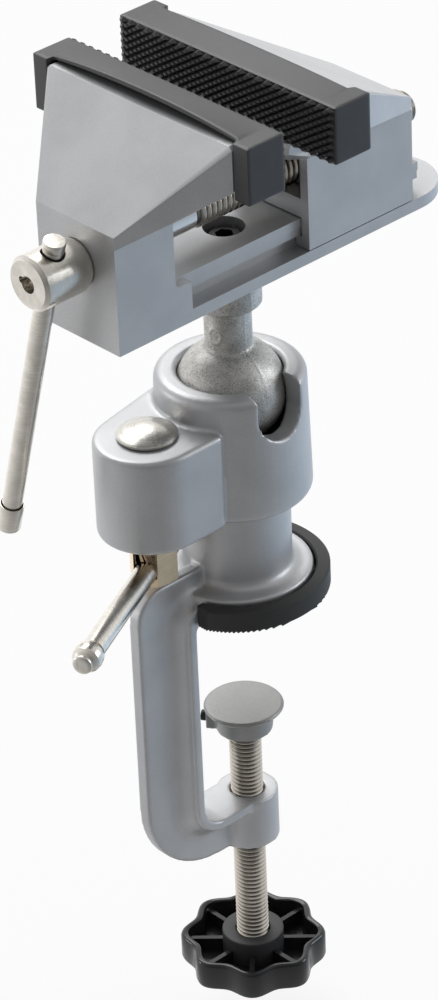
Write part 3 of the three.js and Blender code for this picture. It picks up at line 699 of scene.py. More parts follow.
def taken(holder: bpy.types.Object) -> bpy.types.Mesh:
    """Takes the finished mesh from an object with modifiers and removes the object.

    Args:
        holder: the object.

    Returns:
        A plain mesh.
    """
    bpy.context.view_layer.update()
    result = holder.evaluated_get(bpy.context.evaluated_depsgraph_get())
    mesh = bpy.data.meshes.new_from_object(result)
    bpy.data.objects.remove(holder)
    return mesh


def modified(mesh: bpy.types.Mesh, *steps: tuple[str, dict]) -> bpy.types.Mesh:
    """Runs modifiers on a mesh.

    Args:
        mesh: the mesh.
        steps: the type and the settings of each modifier, in order.

    Returns:
        A new plain mesh.
    """
    holder = linked("modified", mesh)
    for kind, settings in steps:
        modifier = holder.modifiers.new(kind, kind)
        for key, value in settings.items():
            setattr(modifier, key, value)
    return taken(holder)


def kept(shell: bmesh.types.BMesh, name: str) -> bpy.types.Mesh:
    """Writes an edited shell into a new mesh and frees it.

    Args:
        shell: the shell.
        name: the mesh's name.

    Returns:
        The mesh.
    """
    mesh = bpy.data.meshes.new(name)
    shell.to_mesh(mesh)
    shell.free()
    return mesh


def shaded(mesh: bpy.types.Mesh, angle: float = 32.0) -> bpy.types.Mesh:
    """Shades a mesh smooth, apart from its sharp edges.

    Args:
        mesh: the mesh.
        angle: edges sharper than this stay sharp, in degrees.

    Returns:
        The same mesh.
    """
    mesh.shade_smooth()
    mesh.set_sharp_from_angle(angle=math.radians(angle))
    return mesh


def loft(rings: Sequence[Sequence[Vector]], place: Matrix | None = None) -> bpy.types.Mesh:
    """Joins equal rings of points into a closed shell.

    Args:
        rings: rings of as many points each, in millimetres.
        place: where the shell goes, in millimetres.

    Returns:
        The shell in metres, its faces outward.
    """
    place = place or Matrix.Identity(4)
    shell = bmesh.new()
    made = [[shell.verts.new((place @ point) * MM) for point in ring] for ring in rings]
    count = len(rings[0])
    for low, high in zip(made, made[1:]):
        for i in range(count):
            j = (i + 1) % count
            shell.faces.new((low[i], low[j], high[j], high[i]))
    shell.faces.new(made[0][::-1])
    shell.faces.new(made[-1])
    bmesh.ops.remove_doubles(shell, verts=shell.verts, dist=1e-7)
    bmesh.ops.recalc_face_normals(shell, faces=shell.faces)
    return kept(shell, "loft")


def circle(radius: float, height: float, steps: int) -> list[Vector]:
    """Gives that many points on a circle about Z."""
    angles = (2 * math.pi * i / steps for i in range(steps))
    return [Vector((radius * math.cos(a), radius * math.sin(a), height)) for a in angles]


def turned(outline: Outline, place: Matrix | None = None, steps: int = 72) -> bpy.types.Mesh:
    """Turns an outline of radii and heights about Z into a closed mesh; neither end touches the axis."""
    return shaded(loft([circle(radius, height, steps) for radius, height in outline], place))


def rounded(outline: Outline, radius: float) -> list[tuple[float, float]]:
    """Rounds the corners of an outline, apart from its two ends.

    Args:
        outline: the corners.
        radius: the largest radius of the rounding.

    Returns:
        The rounded outline.
    """
    result = [outline[0]]
    for before, corner, after in zip(outline, outline[1:], outline[2:]):
        a, b, c = Vector(before), Vector(corner), Vector(after)
        reach = min(radius, (a - b).length * CORNER_SHARE, (c - b).length * CORNER_SHARE)
        start, end = b + (a - b).normalized() * reach, b + (c - b).normalized() * reach
        for i in range(CORNER_CHORDS + 1):
            t = i / CORNER_CHORDS
            point = start * (1 - t) ** 2 + b * (2 * t * (1 - t)) + end * t**2
            result.append((point.x, point.y))
    return [*result, outline[-1]]


def square(half: float) -> list[tuple[float, float]]:
    """Gives the corners of a square about the axis, from half its width."""
    return [(-half, -half), (half, -half), (half, half), (-half, half)]


def prism(corners: Outline, bottom: float, top: float, place: Matrix | None = None) -> bpy.types.Mesh:
    """Makes an upright bar over a flat shape, between two heights."""
    return loft([[Vector((x, y, z)) for x, y in corners] for z in (bottom, top)], place)


def merged(*meshes: bpy.types.Mesh) -> bpy.types.Mesh:
    """Puts several meshes into one.

    Args:
        meshes: the meshes, which are used up.

    Returns:
        The one mesh.
    """
    whole = bmesh.new()
    for mesh in meshes:
        whole.from_mesh(mesh)
    return shaded(kept(whole, "merged"))


def copied(node: str) -> bpy.types.Mesh:
    """Copies a node's mesh, welds it and joins its flat triangles.

    Args:
        node: the node's name.

    Returns:
        The welded copy.
    """
    shell = bmesh.new()
    shell.from_mesh(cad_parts[node].data)
    bmesh.ops.remove_doubles(shell, verts=shell.verts, dist=WELD)
    bmesh.ops.dissolve_limit(shell, angle_limit=FLAT, verts=shell.verts, edges=shell.edges)
    return kept(shell, node)


def moved_points(mesh: bpy.types.Mesh, move: Callable[[Vector], Vector]) -> bpy.types.Mesh:
    """Moves every point of a mesh.

    Args:
        mesh: the mesh, in metres.
        move: gives a point's new place from its old one, in millimetres.

    Returns:
        The same mesh.
    """
    for vertex in mesh.vertices:
        vertex.co = move(vertex.co / MM) * MM
    return mesh


def softened(mesh: bpy.types.Mesh, width: float) -> bpy.types.Mesh:
    """Rounds the sharp edges of a mesh and evens out its shading.

    Args:
        mesh: the welded mesh.
        width: how wide the rounding is, in millimetres.

    Returns:
        A new mesh.
    """
    mesh.shade_smooth()
    rounding = {
        "width": width * MM,
        "segments": 2,
        "limit_method": "ANGLE",
        "angle_limit": SHARP,
        "use_clamp_overlap": True,
        "miter_outer": "MITER_ARC",
    }
    return modified(mesh, ("BEVEL", rounding), ("WEIGHTED_NORMAL", {"keep_sharp": True}))


def tumbled(mesh: bpy.types.Mesh, grid: float, passes: int, share: float = 0.45) -> bpy.types.Mesh:
    """Rounds every edge and inner corner, as on a casting or a moulding.

    Args:
        mesh: the welded mesh.
        grid: how fine the new surface is, in millimetres.
        passes: how often it is evened out; more passes give rounder edges.
        share: the share of faces that is kept.

    Returns:
        A new mesh.
    """
    surface = {"mode": "VOXEL", "voxel_size": grid * MM}
    evening = {"factor": 0.5, "iterations": passes}
    steps = (("REMESH", surface), ("SMOOTH", evening), ("DECIMATE", {"ratio": share}))
    return shaded(modified(mesh, *steps), TUMBLED_ANGLE)


def cut_away(mesh: bpy.types.Mesh, tool: bpy.types.Mesh) -> bpy.types.Mesh:
    """Cuts one closed mesh out of another.

    Args:
        mesh: the mesh that is cut.
        tool: the space to take away.

    Returns:
        What is left.
    """
    cutter = linked("cutter", tool)
    result = modified(mesh, ("BOOLEAN", {"operation": "DIFFERENCE", "solver": "EXACT", "object": cutter}))
    bpy.data.objects.remove(cutter)
    return result


@dataclass
class Piece:
    """One visible piece of the vise."""

    name: str
    mesh: bpy.types.Mesh
    body: Body
    finish: Finish
    stands_for: tuple[str, ...] = ()

    def place(self) -> None:
        """Puts the piece into the scene, dressed and on its body."""
        self.mesh.name = self.name
        self.mesh.materials.clear()
        self.mesh.materials.append(self.finish.material())
        made = linked(self.name, self.mesh)
        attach(made, self.body.value)
        if self.stands_for:
            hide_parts(*self.stands_for)
        log.info("%s: %d faces on %s", self.name, len(self.mesh.polygons), self.body.value)


def dress_node(node: str, finish: Finish) -> None:
    """Gives a node of the frame its finish.

    Args:
        node: the node's name.
        finish: its finish.
    """
    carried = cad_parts[node]
    carried.data.materials.clear()
    carried.data.materials.append(finish.material())
    log.info("%s: carried over from the frame", node)


@dataclass
class TableClamp:
    """The cast frame that hooks over the table edge, and its rubber pad."""

    grid: float = 0.6
    pad_radius: float = 27.5
    pad_inner: float = 23.3
    pad_floor: float = 2.4
    pad_height: float = 7.2
    pad_edge: float = 0.5
    pad_cut: float = -24.3
    notch_cut: float = -20.7
    notch_half: float = 8.4
    rib_step: float = 0.95
    rib_width: float = 0.55
    rib_height: float = 0.35
    rib_overlap: float = 0.1

    def arm_space(self) -> bpy.types.Mesh:
        """Makes the space that the pad leaves for the arm: a straight cut with a notch in its middle."""
        far, half = -2 * self.pad_radius, self.notch_half
        side = [(far, far), (self.pad_cut, far), (self.pad_cut, -half), (self.notch_cut, -half)]
        return prism([*side, *((x, -y) for x, y in reversed(side))], -1.0, self.pad_height + 1.0)

    def pad(self) -> Piece:
        """Turns the pad as a shallow cup with fine straight ribs under it, and leaves room for the arm.

        Returns:
            The pad.
        """
        floor, edge, top = self.rib_height, self.pad_edge, self.pad_height
        rim, inner = self.pad_radius, self.pad_inner
        cup = [
            (AXIS_GAP, floor),
            (rim - edge, floor),
            (rim, floor + edge),
            (rim, top - edge),
            (rim - edge, top),
            (inner + edge, top),
            (inner, top - edge),
            (inner, self.pad_floor),
            (AXIS_GAP, self.pad_floor),
        ]
        body = shaded(cut_away(turned(cup, steps=144), self.arm_space()))
        reach = rim - edge
        values = {
            "First": self.rib_step - reach,
            "Step": self.rib_step,
            "Radius": reach,
            "Width": self.rib_width,
            "Height": self.rib_height + self.rib_overlap,
            "Count": int(2 * reach / self.rib_step) - 1,
        }
        ribs = RibRecipe().run(None, PAD_RUBBER, values)
        mesh = merged(body, cut_away(ribs, self.arm_space()))
        return Piece("table_pad", mesh, Body.BASE, PAD_RUBBER, ("rubber_pad",))

    def build(self) -> list[Piece]:
        """Rounds the painted casting and makes its pad."""
        casting = tumbled(copied("clamp_frame"), self.grid, 3)
        return [Piece("clamp_casting", casting, Body.BASE, PAINT, ("clamp_frame",)), self.pad()]


@dataclass
class ClampSpindle:
    """The clamp screw with its foot and its lobed knob."""

    threads: ThreadRecipe
    bottom: float = -136.0
    shoulder: float = -52.1
    top: float = -46.5
    radius: float = 5.0
    pitch: float = 1.5
    depth: float = 0.92
    end_radius: float = 4.1
    groove_depth: float = 0.9
    groove_half: float = 1.7
    groove_height: float = -49.0
    chamfer: float = 0.7
    end_chamfer: float = 0.4
    knob_radius: float = 22.6
    knob_scallop: float = 1.3
    knob_lobes: int = 8
    knob_wall: float = 2.3
    knob_bottom: float = -139.3
    knob_top: float = -129.5
    knob_floor: float = 3.0
    hub_radius: float = 9.6
    hub_top: float = -127.8
    bore_radius: float = 5.3
    rib_width: float = 1.5
    rib_drop: float = 2.4
    knob_angle: float = 40.0
    hub_edge: float = 0.7

    def screw(self) -> Piece:
        """Turns the screw's core and winds its thread.

        Returns:
            The clamp screw.
        """
        root, end = self.radius - self.depth, self.end_radius
        neck = end - self.groove_depth
        low, high = self.groove_height - self.groove_half, self.groove_height + self.groove_half
        outline = [
            (root - self.chamfer, self.bottom),
            (root, self.bottom + self.chamfer),
            (root, self.shoulder),
            (end, self.shoulder),
            (end, low),
            (neck, low),
            (neck, high),
            (end, high),
            (end, self.top - self.end_chamfer),
            (end - self.end_chamfer, self.top),
        ]
        finish = ScrewMetal(name="bright clamp thread", slot=Slot.STEEL, root=root, crest=self.radius)
        length = self.shoulder - self.bottom - 1.7
        mesh = self.threads.wind(outline, finish, self.bottom + 0.8, length, self.pitch, self.depth)
        return Piece("clamp_screw_threaded", mesh, Body.CLAMP, finish, ("clamp_screw",))

    def foot(self) -> list[Piece]:
        """Makes the cast foot and its side screw."""
        casting, screw = tumbled(copied("pressure_foot"), 0.35, 3), softened(copied("foot_screw"), 0.2)
        return [
            Piece("foot_casting", casting, Body.FOOT, SMOOTH_CASTING, ("pressure_foot",)),
            Piece("foot_side_screw", screw, Body.FOOT, BLACK_STEEL, ("foot_screw",)),
        ]

    def lobed(self, inset: float, height: float) -> list[Vector]:
        """Gives one ring of the knob.

        Args:
            inset: how far inside the rim the ring is.
            height: its height.

        Returns:
            The ring's points.
        """
        steps = 24 * self.knob_lobes
        ring = []
        for i in range(steps):
            angle = 2 * math.pi * i / steps
            scallop = self.knob_scallop * (1 - math.cos(self.knob_lobes * angle))
            radius = self.knob_radius - inset - scallop
            ring.append(Vector((radius * math.cos(angle), radius * math.sin(angle), height)))
        return ring

    def knob(self) -> list[Piece]:
        """Makes the knob's glossy shell with its ribs, and its matt hub.

        Returns:
            The shell and the hub.
        """
        bottom, top, wall = self.knob_bottom, self.knob_top, self.knob_wall
        floor, inner = bottom + self.knob_floor, self.hub_radius - 1
        side = [
            (3.0, bottom),
            (1.2, bottom + 0.1),
            (0.35, bottom + 0.5),
            (0.0, bottom + 1.4),
            (0.0, top - 1.2),
            (0.3, top - 0.4),
            (0.85, top),
            (1.5, top),
            (wall - 0.1, top - 0.4),
            (wall + 0.1, top - 1.1),
            (wall + 0.4, floor + 0.6),
            (wall + 1.0, floor),
        ]
        rings = [self.lobed(inset, height) for inset, height in side]
        steps = len(rings[0])
        rings = [circle(4.0, bottom, steps), *rings, circle(inner, floor, steps)]
        values = {
            "Inner": inner,
            "Outer": self.knob_radius - wall + 0.2,
            "Width": self.rib_width,
            "Bottom": floor - 0.5,
            "Top": top - self.rib_drop,
            "Count": self.knob_lobes,
        }
        shell = shaded(RingRecipe().run(loft(rings), PLASTIC, values), self.knob_angle)
        hub = [
            (self.bore_radius, floor),
            (self.hub_radius, floor - 1.0),
            (self.hub_radius, self.hub_top),
            (self.bore_radius, self.hub_top),
            (self.bore_radius, floor + 0.2),
        ]
        return [
            Piece("knob_shell", shell, Body.CLAMP, PLASTIC, ("clamp_knob",)),
            Piece("knob_hub", turned(rounded(hub, self.hub_edge)), Body.CLAMP, MATT_PLASTIC),
        ]

    def build(self) -> list[Piece]:
        """Makes the screw, its foot and its knob."""
        return [self.screw(), *self.foot(), *self.knob()]


@dataclass
class BallHousing:
    """The housing that turns on the post, its two clamping shoes and its locking bolt."""

    grid: float = 0.6
    bolt_offset: float = -33.0
    bolt_end: float = 28.2
    bolt_seat: float = 65.9
    bolt_radius: float = 4.0
    head_radius: float = 9.0
    head_rim: float = 0.9
    head_rise: float = 2.4
    neck_half: float = 4.0
    neck_bottom: float = 62.5
    dome_steps: int = 22

    def bolt(self) -> Piece:
        """Turns the domed bolt and sets the square under its head.

        Returns:
            The bolt.
        """
        bolt, head, seat, end = self.bolt_radius, self.head_radius, self.bolt_seat, self.bolt_end
        rim = seat + self.head_rim
        sphere = (self.head_rise**2 + head**2) / (2 * self.head_rise)
        middle = rim + self.head_rise - sphere
        spread = math.asin(head / sphere)
        angles = (spread * (1 - i / self.dome_steps) for i in range(2, self.dome_steps))
        outline = [
            (bolt - 0.5, end),
            (bolt, end + 0.5),
            (bolt, seat),
            (head - 0.3, seat),
            (head, seat + 0.25),
            (head, rim - 0.1),
            (head - 0.25, rim + 0.12),
            *((sphere * math.sin(angle), middle + sphere * math.cos(angle)) for angle in angles),
        ]
        place = Matrix.Translation((self.bolt_offset, 0.0, 0.0))
        neck = prism(square(self.neck_half), self.neck_bottom, seat + 0.2, place)
        mesh = merged(turned(outline, place, 96), neck)
        return Piece("domed_bolt", mesh, Body.HOUSING, DOME_NICKEL, ("locking_bolt",))

    def build(self) -> list[Piece]:
        """Makes the housing and its bolt, and dresses the hidden shoes."""
        for node in ("lower_clamp_shoe", "upper_clamp_shoe"):
            dress_node(node, STEEL)
        housing = tumbled(copied("ball_housing"), self.grid, 4)
        return [Piece("housing_casting", housing, Body.HOUSING, PAINT, ("ball_housing",)), self.bolt()]


@dataclass
class LockingLever:
    """The long nut under the housing with its cross bar."""

    reach: float = 33.0
    height: float = 23.0
    angle: float = 206.6
    bar_radius: float = 3.4
    bar_start: float = -11.8
    bar_end: float = 54.0
    bar_edge: float = 0.3
    end_start: float = 49.0
    end_radius: float = 4.2
    end_length: float = 6.8
    end_edge: float = 0.35
    tip_radius: float = 2.9
    tip_length: float = 1.4
    seat: float = 5.0
    stop_start: float = -6.8
    stop_length: float = 5.6
    stop_tip: float = 0.85

    def along(self) -> Matrix:
        """Gives the place of a shape turned about Z so that it lies along the lever."""
        place = Matrix.Translation((-self.reach, 0.0, self.height))
        turn = Matrix.Rotation(math.radians(self.angle), 4, "Z") @ Matrix.Rotation(math.pi / 2, 4, "Y")
        return place @ turn

    def barrel(self, name: str, node: str, start: float, length: float, tip: float) -> Piece:
        """Turns the barrel on one end of the lever.

        Args:
            name: the piece's name.
            node: the node that it stands for.
            start: where its open end is along the lever; the barrel points away from the nut.
            length: the barrel's length.
            tip: the length of its nose.

        Returns:
            The barrel.
        """
        hole = self.bar_radius + 0.3
        belly = ((-0.4, 0.0), (0.1, 0.2), (0.25, 0.45), (0.0, 0.72), (-0.8, 0.9))
        nose = ((-0.25, 0.1), (0.1, 0.35), (0.0, tip * 0.75), (-0.9, tip))
        mouth = [(hole - 1.0, self.seat), (hole, self.seat), (hole, 0.0)]
        outside = [
            *((self.end_radius + out, length * share) for out, share in belly),
            *((self.tip_radius + out, length + past) for out, past in nose),
            (AXIS_GAP, length + tip),
        ]
        flipped = Matrix.Rotation(math.pi if start < 0 else 0.0, 4, "X")
        place = self.along() @ Matrix.Translation((0.0, 0.0, start)) @ flipped
        mesh = turned([*mouth, *rounded(outside, self.end_edge)], place, SIDES)
        return Piece(name, mesh, Body.LOCK, NICKEL_X, (node,))

    def build(self) -> list[Piece]:
        """Makes the nut, the bar and the barrels on its ends.

        Returns:
            The four pieces.
        """
        radius, start, end, edge = self.bar_radius, self.bar_start, self.bar_end, self.bar_edge
        bar = [(radius - edge, start), (radius, start + edge), (radius, end - edge), (radius - edge, end)]
        nut = softened(copied("locking_nut"), self.bar_edge)
        return [
            Piece("long_nut", nut, Body.LOCK, NUT_NICKEL, ("locking_nut",)),
            Piece("lever_bar", turned(bar, self.along(), SIDES), Body.LOCK, NICKEL_X, ("locking_bar",)),
            self.barrel("lever_barrel", "locking_bar_end", self.end_start, self.end_length, self.tip_length),
            self.barrel("lever_stop", "locking_bar_stop", self.stop_start, self.stop_length, self.stop_tip),
        ]


@dataclass
class BallStem:
    """The cast ball with its stem and collar, and the moulding marks on them."""

    centre: float = 67.5
    radius: float = 16.4
    stem_radius: float = 7.0
    collar_radius: float = 10.2
    top: float = 107.0
    collar_height: float = 10.8
    blend: float = 2.0
    hole_radius: float = 3.3
    hole_depth: float = 15.3
    seam_rise: float = 0.11
    seam_width: float = 0.35
    mark_angle: float = 194.0
    mark_height: float = 88.0
    mark_rise: float = 0.2
    mark_width: float = 0.22
    mark_half: tuple[float, float] = (1.9, 2.4)
    ball_steps: int = 72
    stem_steps: int = 34
    sides: int = 168

    def outline(self) -> list[tuple[float, float]]:
        """Gives the outline of ball, stem, collar and tapped hole."""
        radius, stem_radius, collar_radius, top = self.radius, self.stem_radius, self.collar_radius, self.top
        span = math.acos(stem_radius / radius) + math.pi / 2
        angles = [-math.pi / 2 + span * i / self.ball_steps for i in range(1, self.ball_steps + 1)]
        ball = [(radius * math.cos(angle), self.centre + radius * math.sin(angle)) for angle in angles]
        base = ball[-1][1]
        foot = [(stem_radius + 0.55 * (1 - t) ** 2, base - 0.25 + 1.1 * t) for t in (0.3, 0.6, 1.0)]
        start = top - self.collar_height - self.blend
        count = self.stem_steps
        stem = [(stem_radius, base + 1.3 + (start - base - 1.3) * i / count) for i in range(count + 1)]
        collar = [
            (stem_radius + 0.6, start + self.blend - 0.6),
            (collar_radius - 0.6, start + self.blend + 0.1),
            (collar_radius, start + self.blend + 0.7),
            (collar_radius, top - 0.5),
            (collar_radius - 0.5, top),
            (self.hole_radius, top),
            (self.hole_radius, top - self.hole_depth),
            (0.4, top - self.hole_depth),
        ]
        return [*ball[:-1], *foot, *stem, *collar]

    def marked(self, point: Vector) -> Vector:
        """Raises the seam and the round mark.

        Args:
            point: a point of the smooth casting.

        Returns:
            The point of the marked casting.
        """
        reach = math.hypot(point.x, point.y)
        if reach < self.stem_radius - 0.1 or point.z > self.top - 0.2:
            return point
        out = Vector((point.x, point.y, 0.0)).normalized()
        if point.z < self.centre + self.radius * 0.9:
            out = (point - Vector((0.0, 0.0, self.centre))).normalized()
        rise = self.seam_rise * math.exp(-((point.x / self.seam_width) ** 2))
        turn = math.radians(self.mark_angle) - math.atan2(point.y, point.x)
        turn = (turn + math.pi) % (2 * math.pi) - math.pi
        across, upward = self.mark_half
        away = math.hypot(turn * self.stem_radius / across, (point.z - self.mark_height) / upward)
        if reach < self.stem_radius + 0.2:
            rise += self.mark_rise * math.exp(-(((away - 1) / self.mark_width) ** 2))
        return point + out * rise

    def build(self) -> list[Piece]:
        """Turns the casting and raises its marks."""
        mesh = moved_points(turned(self.outline(), steps=self.sides), self.marked)
        return [Piece("ball_casting", mesh, Body.BALL, CASTING, ("ball_stem",))]


@dataclass
class ViseHead:
    """The bed with the fixed jaw, the moving jaw and the screw into the stem."""

    edge: float = 0.5
    seat: float = 112.3
    screw_end: float = 92.0
    screw_radius: float = 3.0
    head_radius: float = 5.0
    head_height: float = 6.0
    socket_across: float = 5.0
    socket_depth: float = 3.4
    knurls: int = 40
    knurl_width: float = 0.36
    knurl_depth: float = 0.5
    steps: int = 72

    def stem_screw(self) -> Piece:
        """Turns the socket screw, with its six-sided socket and knurled head.

        Returns:
            The screw.
        """
        seat, head, top = self.seat, self.head_radius, self.seat + self.head_height
        outline = [
            (self.screw_radius, self.screw_end),
            (self.screw_radius, seat),
            (head - 0.15, seat),
            (head - 0.15, top - 0.6),
            (head - 0.6, top),
        ]
        rings = [circle(radius, height, self.steps) for radius, height in outline]
        across = self.socket_across / math.sqrt(3)
        for height in (top, top - self.socket_depth):
            ring = []
            for point in circle(1.0, 0.0, self.steps):
                angle = math.atan2(point.y, point.x) % (math.pi / 3) - math.pi / 6
                reach = across * math.cos(math.pi / 6) / math.cos(angle)
                ring.append(Vector((point.x * reach, point.y * reach, height)))
            rings.append(ring)
        values = {
            "Inner": head - self.knurl_depth,
            "Outer": head,
            "Width": self.knurl_width,
            "Bottom": seat + 0.3,
            "Top": top - 0.8,
            "Count": self.knurls,
        }
        mesh = shaded(RingRecipe().run(loft(rings), BLACK_STEEL, values))
        return Piece("socket_screw", mesh, Body.HEAD, BLACK_STEEL, ("stem_screw",))

    def build(self) -> list[Piece]:
        """Makes both castings and the screw, and dresses the hidden pin and nut."""
        for node in ("keeper_pin", "jaw_nut"):
            dress_node(node, STEEL)
        bed, jaw = (softened(copied(node), self.edge) for node in ("vise_bed", "moving_jaw"))
        return [
            Piece("bed_casting", bed, Body.HEAD, PAINT, ("vise_bed",)),
            Piece("moving_jaw_casting", jaw, Body.JAW, PAINT, ("moving_jaw",)),
            self.stem_screw(),
        ]


@dataclass
class JawCap:
    """A rubber cap over a jaw plate, with diamond studs on its gripping face and a loose lip above it.

    From the hinge on, the lip's middle stands up by the lift, its top side bulges by the swell, and its free
    edge is drawn in toward the gripping face. The sign of way says on which side of the face the cap is.
    """

    node: str
    body: Body
    face: float
    way: int
    bottom: float = 154.2
    top: float = 171.8
    half_width: float = 43.7
    slab: float = 5.8
    depth: float = 14.7
    plate_half: float = 37.5
    plate_top: float = 170.3
    grid: float = 0.5
    hinge: float = 2.0
    lift: float = 2.2
    swell: float = 0.7
    draw: float = 1.2
    rise: float = 1.1
    stud_length: float = 3.49
    stud_height: float = 2.2
    upper_share: float = 0.6
    lip_room: float = 0.5
    bow_power: float = 0.8
    swell_share: float = 0.25

    def moulding(self) -> bpy.types.Mesh:
        """Draws the gripping face back behind the studs, rounds the cap and lifts its thin lip off the plate.

        Returns:
            The cap without its studs.
        """

        def draw_back(point: Vector) -> Vector:
            """Moves a point of the gripping face back by the studs' height."""
            near = abs(point.x - self.face) < 0.01
            return point + Vector((self.way * self.rise, 0.0, 0.0)) if near else point

        def lift_lip(point: Vector) -> Vector:
            """Lifts a point of the lip, most in its middle and at its free edge.

            Args:
                point: a point of the rounded cap.

            Returns:
                Its new place.
            """
            upper = point.z > self.plate_top + (self.top - self.plate_top) * self.upper_share
            start = self.hinge if upper else self.slab
            behind = (point.x - self.face) * self.way - start
            if behind < 0 or point.z < self.plate_top - self.lip_room or abs(point.y) > self.plate_half:
                return point
            reach = min(1.0, behind / (self.depth - start))
            bow = (1 - (point.y / self.plate_half) ** 2) ** self.bow_power
            swell = self.swell * (self.swell_share + (1 - self.swell_share) * bow) * reach
            rise = self.lift * bow * reach + (swell if upper else 0.0)
            return point + Vector((-self.way * self.draw * reach, 0.0, rise))

        body = tumbled(moved_points(copied(self.node), draw_back), self.grid, 2, 0.6)
        return moved_points(body, lift_lip)

    def build(self) -> list[Piece]:
        """Makes the cap with its studs.

        Returns:
            The cap.
        """
        values = {
            "Length": self.stud_length,
            "Height": self.stud_height,
            "Rise": self.rise,
            "Columns": int(2 * self.half_width / self.stud_length),
            "Rows": int((self.top - self.bottom) / self.stud_height),
        }
        studs = StudRecipe().run(None, RUBBER, values)
        turn = Matrix.Rotation(math.pi / 2, 4, "Z") @ Matrix.Rotation(math.pi / 2, 4, "X")
        if self.way > 0:
            turn = Matrix.Rotation(math.pi, 4, "Z") @ turn
        centre = (self.face + self.way * self.rise, 0.0, (self.bottom + self.top) / 2)
        studs.transform(Matrix.Translation(Vector(centre) * MM) @ turn)
        studs.shade_flat()
        mesh = merged(self.moulding(), studs)
        return [Piece(f"{self.node}_rubber", mesh, self.body, RUBBER, (self.node,))]


@dataclass
class LeadScrew:
    """The lead screw with its hub and sliding handle."""

    threads: ThreadRecipe
    height: float = 131.4
    journal_start: float = -60.5
    block_front: float = -55.2
    journal_radius: float = 4.0
    shank_radius: float = 5.6
    groove_from: float = -46.5
    groove_to: float = -42.3
    groove_depth: float = 1.1
    thread_start: float = -14.4
    thread_end: float = 73.5
    thread_radius: float = 6.0
    pitch: float = 2.0
    depth: float = 1.15
    hub_centre: float = -65.4
    lean: float = 15.5
    handle_low: float = -90.8
    handle_high: float = 9.2
    handle_radius: float = 3.0
    rivet_radius: float = 2.0
    rivet_length: float = 1.6
    sleeve_radius: float = 3.65
    sleeve_bore: float = 3.3
    sleeve_nose: float = 2.6
    sleeve_below: float = 5.0
    sleeve_above: float = 4.0
    tip_radius: float = 3.3
    tip_bore: float = 2.3
    tip_length: float = 2.9
    tip_gap: float = 0.3

    def along(self) -> Matrix:
        """Gives the place of a shape turned about Z so that it lies along the screw."""
        return Matrix.Translation((0.0, 0.0, self.height)) @ Matrix.Rotation(math.pi / 2, 4, "Y")

    def screw(self) -> Piece:
        """Turns the screw's core and winds its thread.

        Returns:
            The lead screw.
        """
        root, shank = self.thread_radius - self.depth, self.shank_radius
        neck = shank - self.groove_depth
        start, end = self.thread_start, self.thread_end
        outline = [
            (self.journal_radius, self.journal_start),
            (self.journal_radius, self.block_front),
            (shank, self.block_front + 0.01),
            (shank, self.groove_from),
            (neck, self.groove_from),
            (neck, self.groove_to),
            (shank, self.groove_to),
            (shank, start - 0.6),
            (root, start + 0.4),
            (root, end - 0.8),
            (root - 0.8, end),
        ]
        finish = ScrewMetal(
            name="bright lead thread",
            axis=Axis.X,
            through=(0.0, 0.0, self.height),
            root=root,
            crest=shank,
            plain_to=start - 0.6,
        )
        mesh = self.threads.wind(outline, finish, start, end - start - 1.2, self.pitch, self.depth)
        place = self.along()
        moved_points(mesh, lambda point: place @ point)
        return Piece("lead_screw_threaded", mesh, Body.SPINDLE, finish, ("lead_screw",))

    def handle(self) -> list[Piece]:
        """Turns the sliding bar with the sleeve and the tip on its ends.

        Returns:
            The three pieces.
        """
        place = Matrix.Translation((self.hub_centre, 0.0, self.height))
        place = place @ Matrix.Rotation(math.radians(self.lean), 4, "X")
        radius, low, high = self.handle_radius, self.handle_low, self.handle_high
        bar = [
            (radius, low),
            (radius, high - 0.2),
            (radius - 0.2, high),
            (self.rivet_radius, high),
            (self.rivet_radius, high + self.rivet_length),
        ]
        bottom, mouth = low - self.sleeve_below, low + self.sleeve_above
        sleeve = [
            (AXIS_GAP, bottom + 0.25),
            (self.sleeve_nose, bottom),
            (self.sleeve_radius, bottom),
            (self.sleeve_radius, mouth),
            (self.sleeve_bore, mouth),
            (self.sleeve_bore, low - 0.3),
            (AXIS_GAP, low - 0.3),
        ]
        start = high + self.tip_gap
        floor, end = start + self.rivet_length, start + self.tip_length
        tip = [
            (AXIS_GAP, floor),
            (self.tip_bore, floor),
            (self.tip_bore, start),
            (self.tip_radius, start),
            (self.tip_radius, end),
            (AXIS_GAP, end),
        ]
        sleeve, tip = rounded(sleeve, 0.5), rounded(tip, 0.55)
        return [
            Piece(name, turned(outline, place, SIDES), Body.HANDLE, NICKEL_Z, (node,))
            for name, outline, node in (
                ("handle_rod", bar, "handle_bar"),
                ("handle_sleeve", sleeve, "handle_end"),
                ("handle_button", tip, "handle_tip"),
            )
        ]

    def build(self) -> list[Piece]:
        """Makes the screw, the hub and the handle."""
        mesh = softened(copied("spindle_hub"), 0.3)
        hub = Piece("hub_turned", mesh, Body.SPINDLE, NICKEL_X, ("spindle_hub",))
        return [self.screw(), hub, *self.handle()]


